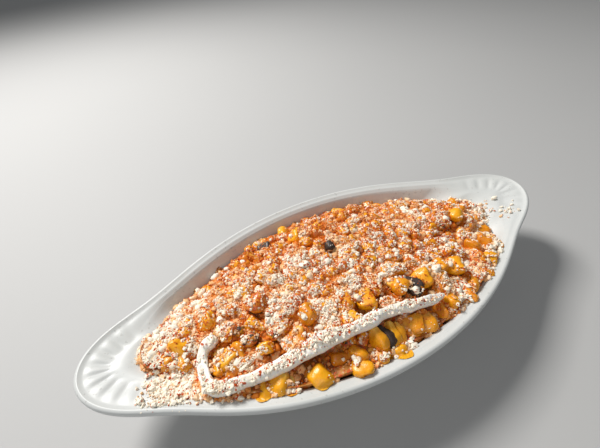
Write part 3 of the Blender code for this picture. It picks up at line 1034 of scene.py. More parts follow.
def near_kernels() -> tuple[HeroKernel, ...]:
    """The bare kernels between the crema and the near rim, from left to right."""
    return (
        HeroKernel(-0.0596, -0.0326, 98, 200, -0.0020, 0.75, spin=0, dust=0.3),
        HeroKernel(-0.0547, -0.0339, 102, 250, 0.0000, 0.20, spin=60, dust=0.1),
        HeroKernel(-0.0489, -0.0350, 110, 220, 0.0012, 0.12, 0.0, 1.12, 1.15, 15, 0.05),
        HeroKernel(-0.0451, -0.0370, 127, 245, -0.0008, 0.50, spin=80, dust=0.1),
        HeroKernel(-0.0401, -0.0361, 97, 290, -0.0032, 0.80, spin=20, dust=0.35),
        HeroKernel(-0.0343, -0.0396, 5, 215, 0.0010, 0.00, 0.0, 1.12, 1.35, 20, 0.05),
        HeroKernel(-0.0320, -0.0448, 58, 340, -0.0016, 0.65, spin=30, dust=0.2),
        HeroKernel(-0.0272, -0.0450, 124, 255, -0.0012, 0.60, spin=70, dust=0.2),
        HeroKernel(-0.0245, -0.0374, 89, 160, -0.0016, 0.75, spin=60, dust=0.2),
        HeroKernel(-0.0178, -0.0406, 46, 90, 0.0002, 0.50, size=0.95, spin=30, dust=0.1),
        HeroKernel(-0.0196, -0.0440, 68, 255, 0.0012, 0.35, 0.0, 1.05, 1.1, 10, 0.1),
        HeroKernel(-0.0112, -0.0434, 64, 305, -0.0004, 0.45, dust=0.4),
        HeroKernel(-0.0092, -0.0393, 92, 280, 0.0016, 0.38, 0.0, 1.05, 1.0, 75, 0.02),
        HeroKernel(-0.0059, -0.0392, 93, 275, 0.0002, 0.30, 0.85, spin=60, dust=0.0),
        HeroKernel(-0.0024, -0.0396, 99, 255, 0.0004, 0.30, 0.10, spin=70, dust=0.05),
        HeroKernel(0.0006, -0.0400, 104, 255, 0.0000, 0.50, spin=80, dust=0.05),
        HeroKernel(-0.0026, -0.0432, 68, 345, 0.0002, 0.60, spin=40, dust=0.05),
        HeroKernel(-0.0046, -0.0465, 64, 350, 0.0016, 0.02, spin=55, dust=0.02),
        HeroKernel(0.0067, -0.0399, 69, 335, 0.0002, 0.55, size=1.1, spin=20, dust=0.05),
        HeroKernel(0.0050, -0.0427, 68, 350, -0.0004, 0.70, spin=50, dust=0.1),
        HeroKernel(0.0127, -0.0419, 86, 250, 0.0002, 0.45, dust=0.1),
        HeroKernel(0.0209, -0.0407, 47, 20, -0.0004, 0.70, dust=0.3),
        HeroKernel(0.0272, -0.0397, 41, 80, 0.0004, 0.40, dust=0.15),
    )


def end_kernels() -> tuple[HeroKernel, ...]:
    """The bare kernels inside the crema's hook and at both ends of the dish."""
    return (
        HeroKernel(-0.0627, -0.0174, 93, 295, 0.0004, 0.30, size=1.1, dust=0.15),
        HeroKernel(-0.0662, -0.0179, 96, 225, -0.0006, 0.45, spin=30, dust=0.15),
        HeroKernel(-0.0586, -0.0177, 70, 340, 0.0000, 0.50, spin=30, dust=0.3),
        HeroKernel(-0.0627, -0.0221, 93, 300, -0.0010, 0.60, spin=30, dust=0.3),
        HeroKernel(-0.0794, -0.0050, 48, 35, 0.0010, 0.20, spin=20, dust=0.15),
        HeroKernel(-0.0785, -0.0097, 86, 270, 0.0006, 0.35, spin=70, dust=0.15),
        HeroKernel(-0.0825, -0.0066, 81, 190, 0.0000, 0.50, spin=20, dust=0.3),
        HeroKernel(-0.0777, -0.0189, 93, 215, 0.0000, 0.50, spin=20, dust=0.25),
        HeroKernel(-0.0617, 0.0355, 12, 40, 0.0018, 0.05, size=1.05, dust=0.1),
        HeroKernel(-0.0625, 0.0238, 98, 325, 0.0002, 0.20, dust=0.4),
        HeroKernel(-0.0122, 0.0383, 32, 230, 0.0018, 0.10, size=1.05, dust=0.1),
        HeroKernel(-0.0121, 0.0258, 71, 310, 0.0012, 0.15, dust=0.15),
        HeroKernel(0.0426, -0.0383, 45, 75, 0.0006, 0.50, spin=70, dust=0.1),
        HeroKernel(0.0356, -0.0406, 43, 10, 0.0004, 0.60, spin=20, dust=0.2),
        HeroKernel(0.0595, -0.0306, 71, 315, 0.0006, 0.25, spin=20, dust=0.15),
        HeroKernel(0.0670, -0.0220, 7, 280, 0.0008, 0.60, spin=20, dust=0.15),
        HeroKernel(0.0703, -0.0246, 127, 255, 0.0004, 0.45, spin=40, dust=0.15),
        HeroKernel(0.0759, -0.0136, 82, 305, 0.0004, 0.65, spin=20, dust=0.25),
        HeroKernel(0.0590, -0.0223, 20, 90, 0.0002, 0.60, spin=20, dust=0.3),
        HeroKernel(0.0650, -0.0036, 65, 310, 0.0012, 0.10, dust=0.1),
    )


def top_kernels() -> tuple[HeroKernel, ...]:
    """The bare kernels that show through the cheese on top of the heap."""
    return (
        HeroKernel(0.0393, -0.0280, 42, 330, 0.0012, 0.30, size=1.05, spin=20, dust=0.1),
        HeroKernel(0.0356, -0.0256, 91, 170, 0.0002, 0.45, dust=0.35),
        HeroKernel(0.0540, -0.0282, 55, 335, 0.0002, 0.60, spin=20, dust=0.35),
        HeroKernel(0.0214, -0.0273, 57, 345, 0.0014, 0.30, size=1.1, spin=20, dust=0.1),
        HeroKernel(0.0163, -0.0284, 84, 305, 0.0000, 0.50, 0.62, spin=20, dust=0.1),
        HeroKernel(-0.0452, -0.0040, 63, 325, 0.0006, 0.75, size=1.05, dust=0.45),
        HeroKernel(-0.0292, -0.0195, 44, 10, 0.0010, 0.60, dust=0.2),
        HeroKernel(-0.0399, -0.0249, 70, 310, 0.0004, 0.75, dust=0.55),
        HeroKernel(-0.0363, -0.0254, 79, 225, 0.0002, 0.60, dust=0.4),
        HeroKernel(-0.0133, -0.0219, 93, 250, 0.0002, 0.55, dust=0.4),
        HeroKernel(-0.0149, -0.0294, 68, 265, 0.0012, 0.15, dust=0.25),
        HeroKernel(-0.0048, -0.0256, 83, 240, 0.0008, 0.30, dust=0.25),
        HeroKernel(0.0105, -0.0258, 77, 295, 0.0006, 0.45, dust=0.3),
        HeroKernel(-0.0271, 0.0314, 102, 330, 0.0006, 0.70, 0.6, 0.9, dust=0.2),
        HeroKernel(-0.0041, 0.0056, 45, 340, 0.0000, 0.50, 0.7, 0.6, dust=0.1),
        HeroKernel(0.0403, 0.0368, 54, 320, 0.0010, 0.55, dust=0.45),
        HeroKernel(0.0164, 0.0269, 116, 295, 0.0008, 0.40, dust=0.45),
        HeroKernel(-0.0598, -0.0084, 81, 310, 0.0000, 0.40, dust=0.5),
        HeroKernel(-0.0650, 0.0005, 59, 350, 0.0000, 0.30, dust=0.5),
    )


def hero_kernels() -> tuple[HeroKernel, ...]:
    """All the kernels that lie bare."""
    return near_kernels() + end_kernels() + top_kernels()


@dataclass(frozen=True)
class KernelShape:
    """Shape of a corn kernel: a squarish wedge with a flat dented crown and a narrow tip."""

    length: float = 0.0092
    width: float = 0.0078
    thickness: float = 0.0050
    taper: float = 0.45
    squareness: float = 0.62
    dent: float = 0.0008
    lumps: float = 0.20

    def girth(self, along: Array) -> Array:
        """Share of the full girth at a share of the length, 0 at the tip and 1 at the crown."""
        tip = np.sqrt(1.0 - (1.0 - np.minimum(along / 0.12, 1.0)) ** 2)
        crown = (1.0 - np.maximum((along - 0.66) / 0.34, 0.0) ** 2.6) ** (1.0 / 2.3)
        return (self.taper + (1.0 - self.taper) * smooth(0.0, 0.62, along)) * tip * crown

    def points(self, rows: int, around: int, sizes: Array, seeds: Array) -> Array:
        """Points of many kernels at once, tip pole first and crown pole last.

        Rows lie closer at both ends, as 0.5 - 0.5 cos.  Each section is a superellipse
        with cosines and sines raised to the squareness.  The crown is dented by a bell
        curve, the body bends and leans sideways by the seed, and noise makes it uneven.

        Args:
            rows: rows between the poles.
            around: points in a row.
            sizes: scales of length, width and thickness, shape (n, 3).
            seeds: one random number per kernel, 0 to 1.

        Returns:
            Points, shape (n, rows * around + 2, 3), with the crown towards +Z.
        """
        along = 0.5 - 0.5 * np.cos((np.arange(rows) + 0.7) / (rows + 0.4) * math.pi)
        turn = (np.arange(around) + 0.5) / around * TURN
        reach = self.girth(along)[:, None]
        x = np.sign(np.cos(turn)) * np.abs(np.cos(turn)) ** self.squareness * reach
        y = np.sign(np.sin(turn)) * np.abs(np.sin(turn)) ** self.squareness * reach
        level = np.broadcast_to(along[:, None] - 0.5, x.shape)
        unit = np.stack([0.5 * x, 0.5 * y, level], axis=-1).reshape(-1, 3)
        unit = np.vstack([[[0.0, 0.0, -0.5]], unit, [[0.0, 0.0, 0.5]]])
        size = np.array([self.width, self.thickness, self.length])
        body = unit[None] * size * sizes[:, None, [1, 2, 0]]
        shift = seeds[:, None, None] * 37.0 + np.arange(3) * 0.013
        uneven = layered_noise(unit[None] * size + shift, 0.0030, 41, 2) - 0.5
        body = body * (1.0 + 2.0 * self.lumps * uneven[..., None])
        middle = np.exp(-(unit[:, 0] ** 2 + unit[:, 1] ** 2) / 0.04)
        dent = self.dent * (0.3 + 1.5 * seeds[:, None]) * middle * smooth(0.3, 0.5, unit[:, 2])
        body[..., 2] -= dent
        body[..., 1] += (seeds[:, None] - 0.5) * 0.0024 * (2.0 * unit[None, :, 2]) ** 2
        body[..., 0] += (np.mod(seeds * 7.0, 1.0)[:, None] - 0.5) * 0.0030 * unit[None, :, 2]
        return body


@dataclass
class Placement:
    """Where and how a set of kernels lies: arrays with one row per kernel."""

    plan: Array
    axis: Array
    spin: Array
    top: Array
    size: Array
    tone: Array
    char: Array
    dust: Array


@dataclass
class KernelHeap:
    """All the corn kernels: bare ones listed one by one, a top layer and an under layer by rule."""

    field: HeapField
    crema: CremaRibbon
    bowl: "HeightMap"
    bowl_gap: float = 0.0003
    most_buried: float = 0.30
    most_lift: float = 0.0022
    shape: KernelShape = field(default_factory=KernelShape)
    pitch: float = 0.0068
    jitter: float = 0.0016
    keep_off: float = 0.0052
    under_drop: float = 0.0040
    seed: int = 11

    def heroes(self) -> Placement:
        """Placement of the bare kernels."""
        chosen = hero_kernels()
        rng = np.random.default_rng(self.seed)
        plan = np.array([(one.x, one.y) for one in chosen])
        lean = np.radians([one.lean for one in chosen])
        heading = np.radians([one.heading for one in chosen])
        top = self.field.height(plan[:, 0], plan[:, 1])
        size = np.array([(one.size, one.size, one.size * one.girth) for one in chosen])
        return Placement(
            plan=plan,
            axis=self.leaning(plan, lean, heading),
            spin=np.radians([one.spin for one in chosen]),
            top=top + np.array([one.lift for one in chosen]),
            size=size * rng.uniform(0.95, 1.05, size.shape),
            tone=np.array([one.roast for one in chosen]),
            char=np.array([one.char for one in chosen]),
            dust=np.array([one.dust for one in chosen]),
        )

    def leaning(self, plan: Array, lean: Array, heading: Array) -> Array:
        """Crown directions: the heap's normal tilted by lean towards heading."""
        normal = self.field.normal(plan[:, 0], plan[:, 1])
        flat = np.column_stack([np.cos(heading), np.sin(heading), np.zeros(len(plan))])
        flat -= normal * np.sum(flat * normal, axis=1, keepdims=True)
        flat /= np.linalg.norm(flat, axis=1, keepdims=True)
        return normal * np.cos(lean)[:, None] + flat * np.sin(lean)[:, None]

    def lattice(self, offset: float, rng: np.random.Generator, limit: float) -> Array:
        """Places on a jittered hexagonal lattice inside the heap's rim."""
        step_y = self.pitch * math.sqrt(0.75)
        columns = np.arange(-16, 17)
        rows = np.arange(-9, 10)
        column, row = np.meshgrid(columns, rows)
        x = (column + 0.5 * (row % 2) + offset) * self.pitch
        y = (row + offset) * step_y
        plan = np.column_stack([x.ravel(), y.ravel()])
        plan = plan + rng.uniform(-self.jitter, self.jitter, plan.shape)
        share, _ = self.field.reach(plan[:, 0], plan[:, 1])
        return plan[share < limit]

    def layer(self, offset: float, drop: float, limit: float, clear: Array,
              seed: int) -> Placement:
        """Placement of one layer of kernels by rule.

        Args:
            offset: shift of the lattice, in pitches.
            drop: how far the kernels' tops lie under the heap's height.
            limit: share of the way to the rim that the layer reaches.
            clear: plan places that the layer keeps away from.
            seed: seed of its random numbers.

        Returns:
            The layer's placement.
        """
        rng = np.random.default_rng(seed)
        plan = self.lattice(offset, rng, limit)
        if len(clear):
            gaps = np.linalg.norm(plan[:, None] - clear[None], axis=2).min(axis=1)
            plan = plan[gaps > self.keep_off]
        count = len(plan)
        lean = np.radians(rng.choice([15, 35, 60, 80], count, p=[0.2, 0.25, 0.3, 0.25]))
        heading = rng.uniform(0.0, TURN, count)
        away, across, _ = self.crema.distance(plan[:, 0], plan[:, 1])
        under = 0.0014 * (1.0 - smooth(0.0025, 0.0045, away))
        bank = 0.0010 * smooth(0.002, 0.004, across) * (1.0 - smooth(0.008, 0.016, across))
        flat = in_plane(plan[:, 0], plan[:, 1])
        high = 0.0016 * (layered_noise(flat, 0.010, 51, 2) - 0.55)
        far = smooth(0.010, 0.038, plan[:, 1])
        end = smooth(0.050, 0.075, plan[:, 0])
        bare = np.maximum(0.8 * far, end)
        top = self.field.height(plan[:, 0], plan[:, 1]) - drop - under + high + bank
        return Placement(
            plan=plan,
            axis=self.leaning(plan, lean, heading),
            spin=rng.uniform(0.0, TURN, count),
            top=top - 0.0014 + 0.0024 * bare,
            size=rng.normal(1.0, 0.07, (count, 3)) * rng.normal(0.97, 0.06, (count, 1)),
            tone=np.clip(rng.normal(0.42, 0.22, count) + 0.30 * far + 0.25 * end, 0.0, 1.0),
            char=np.where(rng.random(count) < 0.05, 0.5, rng.uniform(0.0, 0.18, count)),
            dust=np.clip(rng.normal(0.50, 0.12, count), 0.0, 1.0),
        )

    def build_set(self, name: str, rows: int, around: int, where: Placement,
                  finish: bpy.types.Material) -> bpy.types.Object:
        """One piece from many kernels: each template is turned, then its top set to height.

        Points under the bowl's surface are lifted onto it.  A kernel is left out when too
        many of its points lie where the bowl stands over its top, or when it is lifted far.

        Args:
            name: name of the piece.
            rows: rows of the kernel's grid.
            around: points in a row.
            where: placement of the kernels.
            finish: material of the skin.

        Returns:
            The new object.
        """
        count = len(where.plan)
        rng = np.random.default_rng(self.seed + rows + count)
        seeds = rng.random(count)
        body = self.shape.points(rows, around, where.size, seeds)
        axis = where.axis
        helper = np.where(np.abs(axis[:, 2:]) < 0.9, [[0.0, 0.0, 1.0]], [[1.0, 0.0, 0.0]])
        first = np.cross(helper, axis)
        first /= np.linalg.norm(first, axis=1, keepdims=True)
        second = np.cross(axis, first)
        spin = where.spin[:, None]
        right = first * np.cos(spin) + second * np.sin(spin)
        front = np.cross(axis, right)
        basis = np.stack([right, front, axis], axis=1)
        turned = np.einsum("npk,nkd->npd", body, basis)
        turned[..., :2] += where.plan[:, None]
        turned[..., 2] += (where.top - turned[..., 2].max(axis=1))[:, None]
        height = turned[..., 2]
        inside = self.bowl.at(turned[..., 0], turned[..., 1]) + self.bowl_gap
        buried = inside > where.top[:, None]
        lift = np.where(buried, 0.0, np.maximum(inside - height, 0.0))
        kept = (buried.mean(axis=1) < self.most_buried) & (lift.mean(axis=1) < self.most_lift)
        turned[..., 2] = height + lift
        turned = turned[kept]
        count = len(turned)
        per = body.shape[1]
        quads, tris = capped_faces(rows, around)
        start = (np.arange(count) * per)[:, None, None]
        faces = [(quads[None] + start).reshape(-1, 4), (tris[None] + start).reshape(-1, 3)]
        along = np.concatenate([[0.0], np.repeat(np.linspace(0.05, 0.95, rows), around), [1.0]])
        values = {
            "tone": np.repeat(where.tone[kept], per),
            "char": np.repeat(where.char[kept], per),
            "dust": np.repeat(where.dust[kept], per),
            "along": np.tile(along, count),
        }
        piece = new_mesh(name, turned.reshape(-1, 3), faces, finish, values=values)
        place_piece(piece, "corn")
        return piece

    def build(self, finish: bpy.types.Material) -> list[bpy.types.Object]:
        """Makes the bare kernels and the two layers."""
        heroes = self.heroes()
        top = self.layer(0.0, 0.0, 0.965, heroes.plan, self.seed + 1)
        under = self.layer(0.5, self.under_drop, 0.93, np.empty((0, 2)), self.seed + 2)
        return [
            self.build_set("bare_kernels", 20, 32, heroes, finish),
            self.build_set("top_kernels", 9, 14, top, finish),
            self.build_set("under_kernels", 5, 8, under, finish),
        ]


# ------------------------------------------------------------------ crumbs
class GrainKind(Enum):
    """Shapes of loose grain, by their number of faces."""

    CURD = 80
    CRUMB = 20
    FINE = 8
    FLAKE = 6


def grain_template(kind: GrainKind) -> tuple[Array, Array]:
    """Unit body of a grain.

    Args:
        kind: which body.

    Returns:
        Points on the unit sphere, and triangles.
    """
    if kind in (GrainKind.CURD, GrainKind.CRUMB):
        golden = (1.0 + math.sqrt(5.0)) / 2.0
        signs = [(a, b) for a in (-1.0, 1.0) for b in (-golden, golden)]
        points = [np.roll((0.0, a, b), turn) for turn in range(3) for a, b in signs]
    elif kind is GrainKind.FINE:
        points = [np.roll((0.0, 0.0, a), turn) for turn in range(3) for a in (-1.0, 1.0)]
    else:
        third = TURN / 3.0
        points = [(math.cos(third * k), math.sin(third * k), 0.0) for k in range(3)]
        points += [(0.0, 0.0, 1.0), (0.0, 0.0, -1.0)]
    points = np.array(points, dtype=float)
    points /= np.linalg.norm(points, axis=1, keepdims=True)
    faces = hull_triangles(points)
    if kind is GrainKind.CURD:
        points, faces = split_triangles(points, faces)
    return points, faces


def hull_triangles(points: Array) -> Array:
    """Triangles of the convex hull: every triple with all other points on one side."""
    count = len(points)
    grid = np.array([(a, b, c) for a in range(count) for b in range(a + 1, count)
                     for c in range(b + 1, count)])
    one, two, three = (points[grid[:, k]] for k in range(3))
    normal = np.cross(two - one, three - one)
    sides = np.einsum("nd,pd->np", normal, points) - np.sum(normal * one, axis=1)[:, None]
    flat = np.all(sides < 1e-9, axis=1)
    back = np.all(sides > -1e-9, axis=1)
    return np.vstack([grid[flat], grid[back][:, ::-1]])


def split_triangles(points: Array, faces: Array) -> tuple[Array, Array]:
    """Each triangle cut into four, its new points pushed out to the unit sphere."""
    edges = np.sort(np.vstack([faces[:, [0, 1]], faces[:, [1, 2]], faces[:, [2, 0]]]), axis=1)
    unique, inverse = np.unique(edges, axis=0, return_inverse=True)
    middle = points[unique].mean(axis=1)
    middle /= np.linalg.norm(middle, axis=1, keepdims=True)
    ab, bc, ca = np.split(np.ravel(inverse) + len(points), 3)
    a, b, c = faces.T
    made = [(a, ab, ca), (ab, b, bc), (ca, bc, c), (ab, bc, ca)]
    return np.vstack([points, middle]), np.vstack([np.stack(one, axis=1) for one in made])


class HeightMap:
    """Top surface of everything made so far, on a square grid, for dropping grains on."""

    def __init__(self, pieces: Sequence[bpy.types.Object], half: tuple[float, float],
                 cell: float = 0.0004) -> None:
        """Casts one ray straight down on each cell.

        Args:
            pieces: meshes that grains can lie on.
            half: half sizes of the grid, in metres.
            cell: size of a cell.
        """
        self.cell = cell
        self.half = half
        self.shape = (int(2 * half[0] / cell) + 1, int(2 * half[1] / cell) + 1)
        points, triangles = [], []
        start = 0
        for piece in pieces:
            mesh = piece.data
            mesh.calc_loop_triangles()
            co = np.empty(len(mesh.vertices) * 3, np.float32)
            mesh.vertices.foreach_get("co", co)
            tri = np.empty(len(mesh.loop_triangles) * 3, np.int32)
            mesh.loop_triangles.foreach_get("vertices", tri)
            points.append(co.reshape(-1, 3))
            triangles.append(tri.reshape(-1, 3) + start)
            start += len(mesh.vertices)
        tree = BVHTree.FromPolygons(np.vstack(points).tolist(), np.vstack(triangles).tolist())
        x = np.linspace(-half[0], half[0], self.shape[0])
        y = np.linspace(-half[1], half[1], self.shape[1])
        down = Vector((0.0, 0.0, -1.0))
        hits = [tree.ray_cast(Vector((a, b, 0.2)), down)[0] for a in x for b in y]
        flat = [hit.z if hit else -1.0 for hit in hits]
        self.height = np.array(flat).reshape(self.shape)

    def index(self, x: Array, y: Array) -> tuple[Array, Array]:
        """Cell numbers of plan points."""
        i = np.clip(np.rint((x + self.half[0]) / self.cell).astype(int), 0, self.shape[0] - 1)
        j = np.clip(np.rint((y + self.half[1]) / self.cell).astype(int), 0, self.shape[1] - 1)
        return i, j

    def at(self, x: Array, y: Array) -> Array:
        """Height under plan points."""
        return self.height[self.index(x, y)]

    def settle(self, plan: Array, radius: Array, rounds: int) -> Array:
        """Rolls grains downhill: each takes the lowest of nine places round it, again and again."""
        angles = TURN * np.arange(9) / 8.0
        out = np.where(np.arange(9) == 8, 0.0, 1.1)
        away = out[:, None] * np.column_stack([np.cos(angles), np.sin(angles)])
        for _ in range(rounds):
            places = plan[:, None] + away * radius[:, None, None]
            heights = self.at(places[..., 0], places[..., 1])
            plan = places[np.arange(len(plan)), heights.argmin(axis=1)]
        return plan

    def smoothed(self, reach: int) -> Array:
        """Copy of the map averaged over a square window, by running sums along both axes."""
        result = self.height
        for axis in (0, 1):
            total = np.zeros_like(result)
            for shift in range(-reach, reach + 1):
                total += np.roll(result, shift, axis=axis)
            result = total / (2 * reach + 1)
        return result

    def pile(self, x: Array, y: Array, z: Array, radius: Array) -> None:
        """Raises the map to the tops of grains, over a small disc for each."""
        for turn in range(9):
            angle = TURN * turn / 8.0
            out = 0.0 if turn == 8 else 0.6
            i, j = self.index(x + out * radius * math.cos(angle),
                              y + out * radius * math.sin(angle))
            np.maximum.at(self.height, (i, j), z + radius * (0.75 if turn == 8 else 0.45))


@dataclass
class GrainScatter:
    """One kind of loose grain dropped on the food, as one piece."""

    name: str
    kind: GrainKind
    count: int
    small: float
    large: float
    flatness: float
    seed: int
    slot: str = "corn"
    rough: float = 0.34
    sink: float = 0.35
    batches: int = 5
    rolls: int = 2
    spread: float = 0.16
    # How strongly grains lying low get painted shade, through a higher stain number.
    depth_shade: float = 0.38

    def choose(self, density: Callable[[Array, Array], Array],
               half: tuple[float, float]) -> Array:
        """Plan places drawn so that their density follows a function between 0 and 1."""
        rng = np.random.default_rng(self.seed)
        kept: list[Array] = []
        total = 0
        while total < self.count:
            x = rng.uniform(-half[0], half[0], 40000)
            y = rng.uniform(-half[1], half[1], 40000)
            good = rng.random(40000) < density(x, y)
            kept.append(np.column_stack([x[good], y[good]]))
            total += int(good.sum())
        return np.vstack(kept)[:self.count]

    def drop(self, plan: Array, ground: HeightMap) -> tuple[Array, Array]:
        """Sizes and centres of the grains, dropped in batches so that they pile up.

        Args:
            plan: plan places.
            ground: height map, which is raised by each batch.

        Returns:
            Radii and centres.
        """
        rng = np.random.default_rng(self.seed + 1)
        share = rng.random(len(plan)) ** 2.2
        radius = 0.5 * blend(self.small, self.large, share)
        centre = np.empty((len(plan), 3))
        for part in np.array_split(np.arange(len(plan)), self.batches):
            place = ground.settle(plan[part], radius[part], self.rolls)
            x, y = place[:, 0], place[:, 1]
            height = ground.at(x, y) + radius[part] * (1.0 - self.sink) * self.flatness
            ground.pile(x, y, height, radius[part] * self.flatness)
            centre[part] = np.column_stack([place, height])
        return radius, centre

    def build(self, finish: bpy.types.Material, density: Callable[[Array, Array], Array],
              stain: Callable[[Array, Array], Array], ground: HeightMap,
              ceiling: float) -> bpy.types.Object:
        """Makes the piece: each grain is the unit body, knocked uneven, turned and placed.

        Args:
            finish: material of the grain.
            density: density over the plan.
            stain: chili stain over the plan, 0 to 1.
            ground: height map to drop on.
            ceiling: highest level that a grain may reach.

        Returns:
            The new object.
        """
        level = ground.smoothed(6)
        radius, centre = self.drop(self.choose(density, ground.half), ground)
        landed = centre[:, 2] > 0.0
        radius, centre = radius[landed], centre[landed]
        plan = centre[:, :2]
        # How far each grain lies under the smoothed top, for the painted shade below.
        depth = level[ground.index(plan[:, 0], plan[:, 1])] - centre[:, 2]
        centre[:, 2] = np.minimum(centre[:, 2], ceiling - radius * 1.3)
        rng = np.random.default_rng(self.seed + 2)
        unit, faces = grain_template(self.kind)
        count = len(plan)
        knock = rng.uniform(1.0 - self.rough, 1.0 + self.rough, (count, len(unit), 1))
        body = unit[None] * knock * rng.uniform(0.72, 1.2, (count, 1, 3))
        turned = np.einsum("npk,nkd->npd", body, random_turns(count, rng))
        turned[..., 2] *= self.flatness
        points = centre[:, None] + turned * radius[:, None, None]
        start = (np.arange(count) * len(unit))[:, None, None]
        colour = stain(plan[:, 0], plan[:, 1]) + rng.normal(0.0, self.spread, count)
        # Painted shade: grains under the smoothed top get a higher stain number, so cheese turns
        # darker orange between crumbs; on chili the same term makes flakes more orange.
        colour = np.clip(colour + self.depth_shade * np.clip(depth / 0.001, -1.0, 1.5), 0.0, 1.0)
        values = {"stain": np.repeat(colour, len(unit))}
        parts = [(faces[None] + start).reshape(-1, 3)]
        rounded = self.kind is GrainKind.CURD
        piece = new_mesh(self.name, points.reshape(-1, 3), parts, finish, rounded, values)
        place_piece(piece, self.slot)
        return piece


def random_turns(count: int, rng: np.random.Generator) -> Array:
    """Random rotation matrices, from random unit quaternions."""
    q = rng.normal(size=(count, 4))
    w, x, y, z = (q / np.linalg.norm(q, axis=1, keepdims=True)).T
    rows = [
        [1 - 2 * (y * y + z * z), 2 * (x * y - z * w), 2 * (x * z + y * w)],
        [2 * (x * y + z * w), 1 - 2 * (x * x + z * z), 2 * (y * z - x * w)],
        [2 * (x * z - y * w), 2 * (y * z + x * w), 1 - 2 * (x * x + y * y)],
    ]
    return np.moveaxis(np.array(rows), 2, 0)


